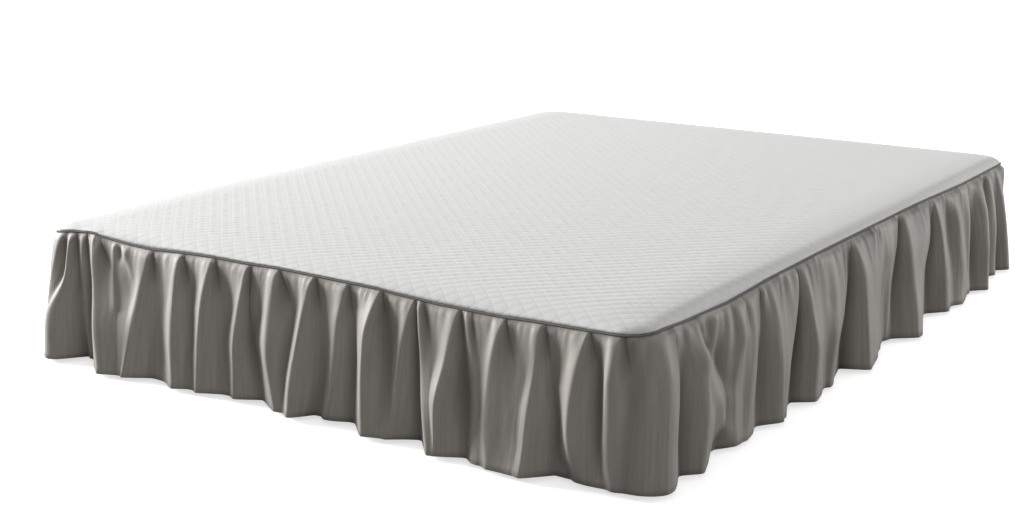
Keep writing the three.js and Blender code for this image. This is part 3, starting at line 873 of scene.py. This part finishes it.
@dataclass(frozen=True)
class SkirtCloth:
    """Soft taupe-grey cloth with a low sheen and a plain weave.

    flat is the size of the cloth laid flat. The streaks' and wrinkles' sizes are along the seam and down
    the drop, the shares say how much of the colour is plain and streaked, and the heights are shares of
    the relief's depth. shade is the colour of the painted shade in the folds' hollows and gaps.
    """

    flat: tuple[float, float]
    colour: Colour = (0.342, 0.321, 0.290)
    # Colour of the painted shade in the folds' hollows and gaps.
    shade: Colour = (0.098, 0.089, 0.077)
    sheen: Colour = (0.95, 0.93, 0.90)
    plain_share: float = 0.85
    streak_share: float = 0.6
    streak: tuple[float, float] = (7 * MM, 120 * MM)
    wrinkle: tuple[float, float] = (14 * MM, 70 * MM)
    thread: float = 0.8 * MM
    relief: float = 1.5 * MM
    wrinkle_height: float = 0.9
    thread_height: float = 0.12
    streak_height: float = 0.25

    def material(self) -> bpy.types.Material:
        """Material with a weave, faint streaks down the drop, small drag wrinkles and painted shade in the
        hollows.

        Returns:
            The material, which reads the piece's attribute of painted shade.
        """
        made = Surface("skirt_cloth", {
            "Roughness": 0.6, "Sheen Weight": 0.25, "Sheen Roughness": 0.35, "Specular IOR Level": 0.45,
            "Sheen Tint": (*self.sheen, 1.0),
        })
        place, _, _ = made.cloth_place(self.flat)
        streak = made.noise(place, self.streak, detail=3.0)
        weave = made.noise(place, (self.thread, self.thread), detail=1.0)
        wrinkle = made.noise(place, self.wrinkle, detail=2.0)
        hollow = made.amount(made.node("ShaderNodeAttribute", {"attribute_name": PAINTED_FOLD_SHADE}).outputs["Fac"])
        # Painted shade: the colour goes towards the shade colour as far as the piece's attribute of painted
        # shade says.
        share = (1.0 - hollow) * (self.plain_share + self.streak_share * (streak - 0.5)).capped()
        made.colour_by(share, self.shade, self.colour)
        height = self.wrinkle_height * wrinkle + self.thread_height * weave + self.streak_height * streak
        made.raise_by(height, self.relief)
        return made.material


@dataclass(frozen=True)
class PlainCloth:
    """Matt woven cloth of one colour, on Object coordinates."""

    name: str
    colour: Colour
    thread: float = 1.2 * MM
    mottle: float = 40 * MM
    darkest: float = 0.85
    relief: float = 0.3 * MM

    def material(self) -> bpy.types.Material:
        """Material with a fine weave and a slight unevenness of colour.

        Returns:
            The material.
        """
        made = Surface(self.name, {"Roughness": 0.9, "Sheen Weight": 0.1, "Specular IOR Level": 0.2})
        place = made.node("ShaderNodeTexCoord").outputs["Object"]
        weave = made.noise(place, (self.thread,) * 3, detail=1.0)
        mottle = made.noise(place, (self.mottle,) * 3, detail=3.0)
        made.colour_by(mottle, tuple(self.darkest * c for c in self.colour), self.colour)
        made.raise_by(weave, self.relief)
        return made.material


# ---------------------------------------------------------------- the pieces


class Folds(NamedTuple):
    """The skirt's knots in order round the bed, the first repeated last.

    place and out have a row for each of LEVELS and a column for each knot, in metres: distances round the
    seam, and stand-outs. gather and side have one value for each knot.
    """

    place: Array
    out: Array
    gather: Array
    side: Array


class Drape(NamedTuple):
    """The skirt's middle layer, with a row for each level down the drop.

    points are places, distance is round the seam, depth is below the top edge, and the last field is the
    painted shade of the gaps beside the crests, from 0 to 1.
    """

    points: Array
    distance: Array
    depth: Array
    gap: Array


@dataclass
class Skirt:
    """The gathered skirt: one ring of cloth from the seam to just above the floor.

    A fade is a pair: where it begins and where it ends, as shares of the drop or, where it is given with
    MM, as depths below the top edge.
    """

    plan: BedPlan
    thickness: float = 1.5 * MM
    hem_height: float = 9 * MM
    top_below_seam: float = 2.4 * MM
    head: PlainFolds = PlainFolds(count=16, phase=0.4)
    left: PlainFolds = PlainFolds(count=20, phase=1.7)

    # The gathering under the seam.
    gather_depth: float = 12 * MM
    gather_start: float = 18 * MM
    gather_end: float = 90 * MM
    stitched_share: float = 0.06
    gathers: tuple[Gathers, ...] = (
        Gathers(),
        Gathers(pitch=29 * MM, depth=2.6 * MM, lengths=(60 * MM, 300 * MM), seed=5),
        Gathers(pitch=26 * MM, depth=6.5 * MM, lengths=(60 * MM, 260 * MM), seed=8, side=Side.RIGHT),
    )
    sewn_fade: tuple[float, float] = (0.0, 14 * MM)

    # The form of the folds.
    first_slope: float = 0.8
    rise_powers: tuple[float, float] = (1.8, 1.1)
    climb_slope: float = 0.58
    widest_valley: float = 0.6
    valley_dip: float = 0.08
    opening_fade: tuple[float, float] = (0.0, 0.42)
    sag: float = 1.6 * MM
    sag_feature: tuple[float, float] = (50 * MM, 90 * MM)
    sag_fade: tuple[float, float] = (10 * MM, 80 * MM)
    sag_seed: int = 3

    # The painted shade in the hollows and gaps: full_shade is how deep a hollow with full painted shade is,
    # at the seam and further down.
    painted_gap_narrowing: float = 6.0
    painted_gap_power: float = 1.3
    painted_gap_fade: tuple[float, float] = (0.08, 0.36)
    shade_reach: float = 28 * MM
    full_shade: tuple[float, float] = (6 * MM, 14 * MM)
    shade_fade: tuple[float, float] = (0.0, 0.3)

    # The mesh.
    rounding: int = 5
    rows: int = 30
    row_power: float = 1.4
    column_spacing: dict[Side, float] = field(default_factory=lambda: {
        Side.FOOT: 3.8 * MM, Side.RIGHT: 5 * MM, Side.HEAD: 14 * MM, Side.LEFT: 14 * MM,
    })

    @property
    def drop(self) -> float:
        """Length of the skirt, from its top edge to its hem."""
        return self.plan.seam_height - self.top_below_seam - self.hem_height

    @property
    def row_shares(self) -> Array:
        """Share of the drop at each row of points, closer together near the seam."""
        return np.linspace(0.0, 1.0, self.rows + 1) ** self.row_power

    def folds(self) -> Folds:
        """Gather the knots of the four sides.

        Returns:
            The knots as arrays.
        """
        short, long = self.plan.side_lengths[:2] / MM
        sides = {
            Side.FOOT: FOOT_KNOTS,
            Side.RIGHT: RIGHT_KNOTS,
            Side.HEAD: self.head.knots(short),
            Side.LEFT: self.left.knots(long),
        }
        rows = [(knot, side) for side, knots in sides.items() for knot in knots]
        rows.append(rows[0])
        side = np.array([side for _, side in rows])
        place = np.array([knot.places for knot, _ in rows]).T * MM + self.plan.side_starts[side]
        place[:, -1] += self.plan.round
        out = np.array([knot.outs for knot, _ in rows]).T * MM
        return Folds(place, out, np.array([knot.gather for knot, _ in rows]), side)

    def columns(self, folds: Folds) -> tuple[Array, Array]:
        """Spread the columns over the flanks by the greatest length of each flank.

        Args:
            folds: The crests and valleys.

        Returns:
            For each column, the knot before it and its share of the way to the next.
        """
        length = np.hypot(np.diff(folds.place, axis=1), np.diff(folds.out, axis=1)).max(axis=0)
        spacing = np.array([self.column_spacing[Side(side)] for side in folds.side[:-1]])
        counts = np.maximum(2, np.round(length / spacing)).astype(int)
        before = np.repeat(np.arange(len(counts)), counts)
        first = np.repeat(np.cumsum(counts) - counts, counts)
        return before, (np.arange(counts.sum()) - first) / np.repeat(counts, counts)

    def gather_out(self) -> Array:
        """Stand-out of the gathers, which open just under the seam and die away down the drop.

        It is (1 - exp(-depth / start)) exp(-depth / end), and a little more that is stitched in.

        Returns:
            The stand-out at each row.
        """
        depth = self.row_shares * self.drop
        opened = (1 - np.exp(-depth / self.gather_start)) * np.exp(-depth / self.gather_end)
        return self.gather_depth * (opened + self.stitched_share * (1 - self.row_shares))

    def climb(self, part: Array, run: Array, height: Array) -> Array:
        """Share of the way up from a valley to the next crest.

        The cloth dips a little along the valley's floor, up to the turn, and from there climbs as
        ((part - turn) / (1 - turn))^power. The floor takes the width that a climb at climb_slope leaves.
        At the seam there is no floor yet.

        Args:
            part: Share of the way across its flank of each column.
            run: Width of its flank at each point.
            height: Difference in stand-out across its flank at each point.

        Returns:
            The share at each point.
        """
        opened = smooth(*self.opening_fade, self.row_shares)[:, None]
        turn = opened * np.clip(1 - height / self.climb_slope / run, 0.0, self.widest_valley)
        dip = self.valley_dip * opened
        risen = np.clip((part - turn) / (1 - turn), 0.0, 1.0) ** lerp(*self.rise_powers, opened)
        floor = -dip * np.minimum(part / np.maximum(turn, TINY), 1.0)
        return np.where(part > turn, lerp(-dip, 1.0, risen), floor)

    def paint_gap_shade(self, rising: Array, part: Array) -> Array:
        """Painted shade of the gaps under the seam, where a fold tucks in behind the crest before it.

        It deepens down each falling flank, is gone soon after the valley, and fades down the drop.

        Args:
            rising: Whether the flank of each column rises.
            part: Share of the way across its flank of each column.

        Returns:
            The painted shade at each point, from 0 to 1.
        """
        beside = np.where(rising, np.maximum(1 - self.painted_gap_narrowing * part, 0.0), part)
        return beside ** self.painted_gap_power * (1 - smooth(*self.painted_gap_fade, self.row_shares))[:, None]

    def drape(self) -> Drape:
        """Hang the cloth's middle layer.

        Down the drop each knot follows its curve. Across a flank that falls the stand-out is straight from
        knot to knot, and one that rises climbs from its valley's floor. A running mean over a few columns
        rounds the crests and the valleys.

        Returns:
            The layer, without its puckers and creases.
        """
        folds = self.folds()
        before, part = self.columns(folds)
        after = before + 1
        place = down_curve(LEVELS, folds.place, self.row_shares)
        out = down_curve(LEVELS, folds.out, self.row_shares, self.first_slope)
        out = out + folds.gather * self.gather_out()[:, None]
        rising = folds.gather[after] > folds.gather[before]
        run, height = place[:, after] - place[:, before], np.abs(out[:, after] - out[:, before])
        across = np.where(rising, self.climb(part, run, height), part)
        out = np.maximum(lerp(out[:, before], out[:, after], across), 0.0)
        for _ in range(self.rounding):
            out = (np.roll(out, 1, 1) + 2 * out + np.roll(out, -1, 1)) / 4
        distance = lerp(place[:, before], place[:, after], part)
        plan_point, normal = self.plan.outline(distance)
        top = self.plan.seam_height - self.top_below_seam + self.plan.seam_rise(distance)
        level = lerp(top, self.hem_height, self.row_shares[:, None])
        points = np.concatenate([plan_point + normal * out[..., None], level[..., None]], -1)
        depth = np.broadcast_to(self.row_shares[:, None] * self.drop, distance.shape)
        # The last field is the painted shade of the gaps beside the crests.
        return Drape(points, distance, depth, self.paint_gap_shade(rising, part))

    def relief(self, drape: Drape) -> Array:
        """Height over the folds of the creases, the puckers and the slight sag of the cloth.

        The seam holds the creases and puckers flat, and they come up just under it.

        Args:
            drape: The middle layer.

        Returns:
            The height at each point.
        """
        marks = sum(mark.relief(self.plan, drape.distance, drape.depth) for mark in (*CREASES, *self.gathers))
        along, down = self.sag_feature
        sag = self.sag * soft_noise(drape.distance / along, drape.depth / down, self.sag_seed)
        return marks * smooth(*self.sewn_fade, drape.depth) + sag * smooth(*self.sag_fade, drape.depth)

    def normals(self, points: Array) -> Array:
        """Outward unit normals of the ring, from the steps to the neighbouring points.

        Args:
            points: The ring's points, row by row.

        Returns:
            The normal at each point.
        """
        along = np.roll(points, -1, 1) - np.roll(points, 1, 1)
        cross = np.cross(np.gradient(points, axis=0), along)
        return cross / np.linalg.norm(cross, axis=-1, keepdims=True)

    def painted_fold_shade(self, drape: Drape) -> Array:
        """Painted shade: how far each point lies in a hollow between its neighbours, from 0 at their mean to
        1.

        The stand-out is taken from its own mean over a stretch of the round, which is the difference of
        its running integral at the stretch's two ends over their distance.

        Args:
            drape: The cloth.

        Returns:
            The painted shade at each point: its depth as a share of the depth of full shade, or the painted
                gap shade if darker.
        """
        plan_point, normal = self.plan.outline(drape.distance)
        out = ((drape.points[..., :2] - plan_point) * normal).sum(-1)
        hollow = np.zeros(out.shape)
        for row, (distance, level) in enumerate(zip(drape.distance, out)):
            order = np.argsort(distance, kind="stable")
            place, level = distance[order], level[order]
            ring = np.concatenate([place - self.plan.round, place, place + self.plan.round])
            integral = np.concatenate([[0.0], np.cumsum(np.diff(ring) * np.tile(level, 3)[1:])])
            start = np.interp(place - self.shade_reach, ring, integral)
            end = np.interp(place + self.shade_reach, ring, integral)
            hollow[row, order] = (end - start) / (2 * self.shade_reach) - level
        full = lerp(*self.full_shade, smooth(*self.shade_fade, self.row_shares))[:, None]
        return np.maximum(np.clip(hollow / full, 0.0, 1.0), drape.gap)

    def cloth_map(self, hem: Array) -> tuple[Array, float]:
        """Lay the cloth flat: u is the share of the way along the hem, and v runs from the hem to the seam.

        Args:
            hem: The lowest row of points.

        Returns:
            The coordinates of every face corner, and the length of the hem.
        """
        way = np.concatenate([[0.0], np.cumsum(np.linalg.norm(np.diff(hem, axis=0), axis=-1))])
        girth = way[-1] + np.linalg.norm(hem[0] - hem[-1])
        u, v = np.append(way / girth, 1.0), 1.0 - self.row_shares
        row, column = np.meshgrid(np.arange(self.rows), np.arange(len(hem)), indexing="ij")
        corner_u = np.stack([u[column], u[column + 1], u[column + 1], u[column]], -1)
        corner_v = np.stack([v[row + 1], v[row + 1], v[row], v[row]], -1)
        return np.stack([corner_u, corner_v], -1).reshape(-1, 2), girth

    def build(self) -> bpy.types.Object:
        """Returns:
            The piece.
        """
        drape = self.drape()
        raised = drape.points + self.normals(drape.points) * self.relief(drape)[..., None]
        drape = drape._replace(points=raised)
        rows, columns = drape.depth.shape
        faces = grid_faces(rows, columns, ring=True)[:, ::-1]
        uv, girth = self.cloth_map(drape.points[-1])
        flat = (girth, self.drop)
        piece = make_mesh("gathered_skirt", drape.points.reshape(-1, 3), [faces], uv)
        # The attribute of painted shade in the hollows and gaps, by which the cloth's colour is darkened.
        layer = piece.data.attributes.new(PAINTED_FOLD_SHADE, "FLOAT", "POINT")
        layer.data.foreach_set("value", self.painted_fold_shade(drape).astype(np.float32).ravel())
        wall = piece.modifiers.new("cloth", "SOLIDIFY")
        wall.thickness = self.thickness
        wall.offset = 0.0
        wall.use_even_offset = False
        piece.data.materials.append(SkirtCloth(flat).material())
        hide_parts("skirt")
        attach(piece, "root")
        log.info("skirt: %d columns, %d rows, girth %.2f m", columns, rows, girth)
        return piece


class Rim(NamedTuple):
    """The edge of the panel's flat part, point by point anticlockwise from the front left."""

    index: Array
    point: Array
    normal: Array
    distance: Array


@dataclass
class Panel:
    """The quilted top panel: one sheet over the mattress whose edge turns down to the seam."""

    plan: BedPlan
    thickness: float = 2.5 * MM
    turned_in: float = 30 * MM

    # The turned-down edge: its slack is the cloth that the curve takes up, as a share of its reach.
    edge_reach: float = 45 * MM
    edge_power: float = 4.2
    under_power: float = 4.0
    edge_slack: float = 0.12
    edge_steps: int = 10
    edge_above_seam: float = 2.4 * MM

    # The quilting, which is flatter near the edge.
    cell: float = 5.98 * MM
    cells_per_diamond: int = 6
    puff: float = 1.15 * MM
    unevenness: float = 0.25
    uneven_feature: float = 30 * MM
    uneven_seed: int = 5
    edge_puff: float = 0.2
    edge_band: float = 70 * MM

    # Points of the seam among which the edge looks for its nearest.
    seam_stations: int = 4001

    @property
    def size(self) -> Array:
        """Width and length of the cloth laid flat, with what is turned in at the seam."""
        return np.array([self.plan.width, self.plan.length]) + 2 * self.turned_in

    @property
    def half(self) -> Array:
        """Half the width and length of the flat part, inside the edge."""
        return np.array([self.plan.width, self.plan.length]) / 2 - self.edge_reach

    @property
    def radius(self) -> float:
        """Corner radius of the flat part."""
        return self.plan.corner_radius - self.edge_reach

    @property
    def counts(self) -> Array:
        """Number of cells across and along the flat part."""
        return np.round(2 * self.half / self.cell).astype(int)

    @property
    def diamond(self) -> Array:
        """Width and length of a diamond of the quilting, a whole number of cells."""
        return 2 * self.half / self.counts * self.cells_per_diamond

    @property
    def middle_height(self) -> float:
        """Height of the middle of the panel's relief before it droops."""
        return self.plan.panel_top - 0.5 * self.puff

    def flat_grid(self) -> Array:
        """Grid of the flat part in plan, its corner squares bent into quarter discs.

        In each corner square the larger of the two coordinates becomes the radius and their ratio the
        angle, so that the square's outer edges land on the arc.

        Returns:
            Places on the flat cloth, row by row from the foot.
        """
        x, y = np.meshgrid(*(np.linspace(-half, half, n + 1) for half, n in zip(self.half, self.counts)))
        corner = self.half - self.radius
        px, py = np.abs(x) - corner[0], np.abs(y) - corner[1]
        reach = np.maximum(px, py)
        turn = np.where(px >= py, py / np.maximum(px, TINY), 2 - px / np.maximum(py, TINY)) * (math.pi / 4)
        inside = (px > 0) & (py > 0)
        bent_x = np.where(inside, np.sign(x) * (corner[0] + reach * np.cos(turn)), x)
        bent_y = np.where(inside, np.sign(y) * (corner[1] + reach * np.sin(turn)), y)
        return np.stack([bent_x, bent_y], -1)

    def quilt(self, flat: Array) -> Array:
        """Height of the quilting: the square root of |sin a sin b|, with a and b across the stitch lines.

        Args:
            flat: Places on the flat cloth.

        Returns:
            Height over the middle of the relief, a little uneven from puff to puff.
        """
        across, along = np.pi * flat[..., 0] / self.diamond[0], np.pi * flat[..., 1] / self.diamond[1]
        puffs = np.sqrt(np.abs(np.sin(across + along) * np.sin(across - along))) - 0.5
        place = flat / self.uneven_feature
        noise = soft_noise(place[..., 0], place[..., 1], self.uneven_seed)
        return self.puff * (1 + self.unevenness * noise) * puffs

    def flat_part(self, flat: Array) -> Array:
        """Places of the flat part.

        Args:
            flat: Places on the flat cloth.

        Returns:
            The points, raised by the quilting and sunk by the droop.
        """
        inward = (self.half - np.abs(flat)).min(-1)
        relief = self.quilt(flat) * lerp(self.edge_puff, 1.0, smooth(0.0, self.edge_band, inward))
        height = self.middle_height + relief - self.plan.droop(flat)
        return np.concatenate([flat, height[..., None]], -1)

    def rim(self, flat: Array) -> Rim:
        """Walk round the edge of the flat part.

        The normal points away from the nearest point of the rectangle of the corners' centres, and the
        distance is that of the nearest point of the seam to where the edge will end.

        Args:
            flat: Places on the flat cloth.

        Returns:
            The rim.
        """
        index = np.arange(flat[..., 0].size).reshape(flat.shape[:2])
        index = np.concatenate([index[0, :-1], index[:-1, -1], index[-1, :0:-1], index[:0:-1, 0]])
        point = flat.reshape(-1, 2)[index]
        corner = self.half - self.radius
        away = point - np.clip(point, -corner, corner)
        normal = away / np.linalg.norm(away, axis=-1, keepdims=True)
        distance = np.linspace(0.0, self.plan.round, self.seam_stations)
        seam, _ = self.plan.outline(distance)
        end = self.plan.pulled(point + normal * self.edge_reach)
        nearest = np.argmin(((end[:, None, :] - seam[None, :, :]) ** 2).sum(-1), axis=1)
        return Rim(index, point, normal, distance[nearest])

    def laid_flat(self, rim: Rim, share: float) -> Array:
        """Places on the flat cloth of the edge, at a share of the way out."""
        return rim.point + rim.normal * (self.edge_reach * share * (1 + self.edge_slack * share))

    def ring(self, rim: Rim, reach: float, share: float, raised: Array | float) -> Array:
        """One ring of the edge, which curves ever more steeply down to the seam: by share^power.

        Args:
            rim: The edge of the flat part.
            reach: How far out the ring lies.
            share: Share of the way out, for its height.
            raised: How far it lies above the curve.

        Returns:
            The ring's points.
        """
        point = rim.point + rim.normal * reach
        flat = self.middle_height - self.plan.droop(point)
        seam = self.plan.seam_height + self.edge_above_seam + self.plan.seam_rise(rim.distance)
        height = lerp(flat, seam, share ** self.edge_power) + raised
        return np.concatenate([point, height[:, None]], -1)

    def edge(self, rim: Rim) -> tuple[list[Array], list[Array]]:
        """Rings of the edge: outwards and down to the seam, round the cut edge and back underneath.

        Args:
            rim: The edge of the flat part.

        Returns:
            The rings' points, and their places on the flat cloth.
        """
        rings, flats = [], []
        for share in np.linspace(0.0, 1.0, self.edge_steps + 1)[1:]:
            flats.append(self.laid_flat(rim, share))
            relief = self.quilt(flats[-1]) * self.edge_puff * (1 - share ** 2)
            rings.append(self.ring(rim, self.edge_reach * share, share, relief))
        for share in np.linspace(1.0, 0.0, self.edge_steps // 2 + 1):
            under = self.thickness * (1 - share ** self.under_power)
            rings.append(self.ring(rim, (self.edge_reach - self.thickness) * share, share, -under))
            flats.append(self.laid_flat(rim, 1.0))
        return rings, flats

    def build(self) -> bpy.types.Object:
        """Returns:
            The piece.
        """
        flat = self.flat_grid()
        rows, columns = flat.shape[:2]
        rim = self.rim(flat)
        rings, flats = self.edge(rim)
        points = np.concatenate([self.flat_part(flat).reshape(-1, 3), *rings])
        points[:, :2] = self.plan.pulled(points[:, :2])
        starts = rows * columns + len(rim.index) * np.arange(len(rings))
        loops = [rim.index, *(start + np.arange(len(rim.index)) for start in starts)]
        faces = [grid_faces(rows, columns, ring=False)]
        for upper, lower in zip(loops[:-1], loops[1:]):
            faces.append(np.stack([upper, lower, np.roll(lower, -1), np.roll(upper, -1)], -1))
        faces.append(loops[-1][::-1][None, :])
        cloth = np.concatenate([flat.reshape(-1, 2), *flats]) / self.size + 0.5
        uv = np.concatenate([cloth[f.ravel()] for f in faces])
        piece = make_mesh("quilted_panel", points, faces, uv)
        piece.data.materials.append(QuiltedCloth(tuple(self.size), tuple(self.diamond)).material())
        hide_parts("top_panel")
        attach(piece, "root")
        tuple(self.size)
        log.info("panel: %d x %d cells, %d rings", *self.counts, len(rings))
        return piece


@dataclass
class Piping:
    """The narrow welt of skirt cloth in the seam: a tube all the way round."""

    plan: BedPlan
    radius: float = 1.6 * MM
    stand_out: float = 1.0 * MM
    unevenness: float = 0.06
    uneven_feature: float = 12 * MM
    uneven_seed: int = 8
    stations: int = 1400
    sides: int = 10
    # Darker than the skirt cloth it is made of: partly its own colour, partly painted shade of the seam line.
    cloth: PlainCloth = PlainCloth("piping_cloth", (0.19, 0.178, 0.163), 0.8 * MM)

    def build(self) -> bpy.types.Object:
        """Round the tube a point stands radius cos t further out than its middle, and radius sin t higher.

        Returns:
            The piece.
        """
        distance = np.linspace(0.0, self.plan.round, self.stations, endpoint=False)
        turn = np.linspace(0.0, 2 * np.pi, self.sides, endpoint=False)[:, None]
        noise = soft_noise(distance / self.uneven_feature, 0.0, self.uneven_seed)
        radius = self.radius * (1 + self.unevenness * noise)
        out = self.stand_out + radius * np.cos(turn)
        point, normal = self.plan.outline(np.broadcast_to(distance, out.shape))
        height = self.plan.seam_height + self.plan.seam_rise(distance) + radius * np.sin(turn)
        points = np.concatenate([point + normal * out[..., None], height[..., None]], -1)
        faces = grid_faces(self.sides, self.stations, ring=True, tube=True)
        piece = make_mesh("seam_piping", points.reshape(-1, 3), [faces])
        piece.data.materials.append(self.cloth.material())
        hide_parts("piping")
        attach(piece, "root")
        return piece


@dataclass
class Mattress:
    """The plain mattress inside: rounded edges, and walls that draw in a little at half their height."""

    plan: BedPlan
    inset: float = 6 * MM
    edge_radius: float = 39 * MM
    hollow: float = 3 * MM
    fill: float = 0.9
    stations: int = 360
    arc_points: int = 7
    wall_points: int = 9
    cloth: PlainCloth = PlainCloth("ticking", (0.80, 0.78, 0.74))

    def profile(self, low: float, high: float) -> tuple[Array, Array]:
        """Section of the wall: a quarter circle, a wall that draws in by sin^2, and a quarter circle.

        Args:
            low: Height of the underside.
            high: Height of the top.

        Returns:
            How far in from the seam each ring lies, and its height.
        """
        turn = np.linspace(0.0, np.pi / 2, self.arc_points)
        part = np.linspace(0.0, 1.0, self.wall_points)[1:-1]
        in_by_sine = self.edge_radius * (1 - np.sin(turn))
        in_by_cosine = self.edge_radius * (1 - np.cos(turn))
        inset = [in_by_sine, self.hollow * np.sin(np.pi * part) ** 2, in_by_cosine]
        height = [
            low + in_by_cosine,
            lerp(low + self.edge_radius, high - self.edge_radius, part),
            high - in_by_sine,
        ]
        return np.concatenate(inset) + self.inset, np.concatenate(height)

    def build(self) -> bpy.types.Object:
        """Returns:
            The piece.
        """
        low, high = (corner.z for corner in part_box("mattress"))
        inset, height = (values[:, None] for values in self.profile(low, high))
        distance = np.linspace(0.0, self.plan.round, self.stations, endpoint=False)
        point, _ = self.plan.outline(np.broadcast_to(distance, (len(inset), self.stations)), inset)
        level = height - self.plan.droop(point) * smooth(low, high, height)
        points = np.concatenate([point, level[..., None]], -1).reshape(-1, 3)
        ring = np.arange(self.stations)
        faces = grid_faces(len(inset), self.stations, ring=True)
        caps = [ring[::-1][None, :], (ring + (len(inset) - 1) * self.stations)[None, :]]
        piece = make_mesh("plain_mattress", points, [faces, *caps])
        piece.data.materials.append(self.cloth.material())
        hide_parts("mattress")
        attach(piece, "root")
        return piece


@dataclass
class BedBase:
    """The plain bed base, which keeps its own node."""

    cloth: PlainCloth = PlainCloth("base_cloth", (0.42, 0.39, 0.35), 2 * MM)

    def dress(self) -> bpy.types.Object:
        """Give the node its upholstery cloth.

        Returns:
            The node.
        """
        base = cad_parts["bed_base"]
        base.data.materials.clear()
        base.data.materials.append(self.cloth.material())
        return base


# ---------------------------------------------------------------- the studio


@dataclass(frozen=True)
class Lamp:
    """A soft square lamp."""

    name: str
    place: tuple[float, float, float]
    size: float
    power: float

    def build(self, target: Vector) -> None:
        """Hang the lamp.

        Args:
            target: The place it points at.
        """
        data = bpy.data.lights.new(self.name, "AREA")
        data.shape = "SQUARE"
        data.size = self.size
        data.energy = self.power
        lamp = bpy.data.objects.new(self.name, data)
        lamp.location = self.place
        lamp.rotation_euler = (target - lamp.location).to_track_quat("-Z", "Y").to_euler()
        lamp.visible_camera = False
        bpy.context.scene.collection.objects.link(lamp)


@dataclass(frozen=True)
class Studio:
    """White ground, soft light and the camera. Angles are degrees.

    The ground and the surroundings look whiter than the light that they throw on the bed.
    """

    camera_place: tuple[float, float, float] = (1.953, -3.137, 1.056)
    camera_turn: float = 34.4
    camera_down: float = 14.4
    lens: float = 52.73
    sensor: float = 36.0
    floor_size: float = 60.0
    floor_colour: Colour = (0.9, 0.9, 0.9)
    floor_glow: float = 0.65
    floor_bounce: Colour = (0.35, 0.35, 0.35)
    world_white: float = 1.1
    world_light: float = 0.29
    lit_height: float = 0.2
    lamps: tuple[Lamp, ...] = (
        Lamp("key", (-7.6, -2.1, 2.6), 2.6, 1250.0),
        Lamp("fill", (4.6, -4.6, 1.3), 3.0, 36.0),
        Lamp("side", (4.5, 4.9, 1.1), 2.2, 208.0),
        Lamp("overhead", (0.0, 0.3, 6.0), 5.0, 60.0),
    )

    def build(self) -> None:
        """Set up the floor, the world, the lamps and the camera."""
        bpy.context.scene.view_settings.view_transform = "Standard"
        self.build_floor()
        self.build_world()
        for lamp in self.lamps:
            lamp.build(Vector((0.0, 0.0, self.lit_height)))
        self.build_camera()

    def build_camera(self) -> None:
        """Stand the camera to the right of the foot, looking a little down."""
        data = bpy.data.cameras.new("camera")
        data.lens = self.lens
        data.sensor_width = self.sensor
        camera = bpy.data.objects.new("camera", data)
        camera.location = self.camera_place
        camera.rotation_euler = (math.radians(90.0 - self.camera_down), 0.0, math.radians(self.camera_turn))
        bpy.context.scene.collection.objects.link(camera)
        bpy.context.scene.camera = camera

    def build_world(self) -> None:
        """White surroundings to look at, which throw only a little light on the bed."""
        world = bpy.data.worlds.new("studio")
        bpy.context.scene.world = world
        world.use_nodes = True
        made = Nodes(world.node_tree)
        path = made.node("ShaderNodeLightPath")
        strength = made.node("ShaderNodeMix", inputs={
            MIX_FACTOR: path.outputs["Is Camera Ray"],
            MIX_NUMBERS[0]: self.world_light,
            MIX_NUMBERS[1]: self.world_white,
        })
        ground = made.node("ShaderNodeBackground", inputs={
            "Color": (1.0, 1.0, 1.0, 1.0), "Strength": strength.outputs[0],
        })
        made.node("ShaderNodeOutputWorld", inputs={"Surface": ground.outputs[0]})

    def build_floor(self) -> None:
        """A large, flat floor, white to look at, which throws back only a little light."""
        half = self.floor_size / 2
        corners = np.array([(-half, -half, 0), (half, -half, 0), (half, half, 0), (-half, half, 0)])
        floor = make_mesh("floor", corners, [np.array([[0, 1, 2, 3]])])
        made = Surface("floor", {
            "Base Color": (*self.floor_colour, 1.0), "Roughness": 0.9, "Specular IOR Level": 0.0,
            "Emission Color": (1.0, 1.0, 1.0, 1.0), "Emission Strength": self.floor_glow,
        })
        dull = made.node("ShaderNodeBsdfDiffuse", inputs={0: (*self.floor_bounce, 1.0)})
        path = made.node("ShaderNodeLightPath")
        mixed = made.node("ShaderNodeMixShader", inputs={
            0: path.outputs["Is Camera Ray"], 1: dull.outputs[0], 2: made.shader.outputs[0],
        })
        made.feed(made.output.inputs["Surface"], mixed.outputs[0])
        floor.data.materials.append(made.material)


def main() -> None:
    """Build the bed's pieces in order, then the studio."""
    logging.basicConfig(level=logging.INFO, format="%(name)s: %(message)s")
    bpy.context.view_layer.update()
    plan = BedPlan.from_frame()
    pieces = [
        Mattress(plan).build(), Panel(plan).build(), Piping(plan).build(), Skirt(plan).build(),
        BedBase().dress(),
    ]
    Studio().build()
    for piece in pieces:
        log.info("%s: %d faces", piece.name, len(piece.data.polygons))


if __name__ == "__main__":
    main()
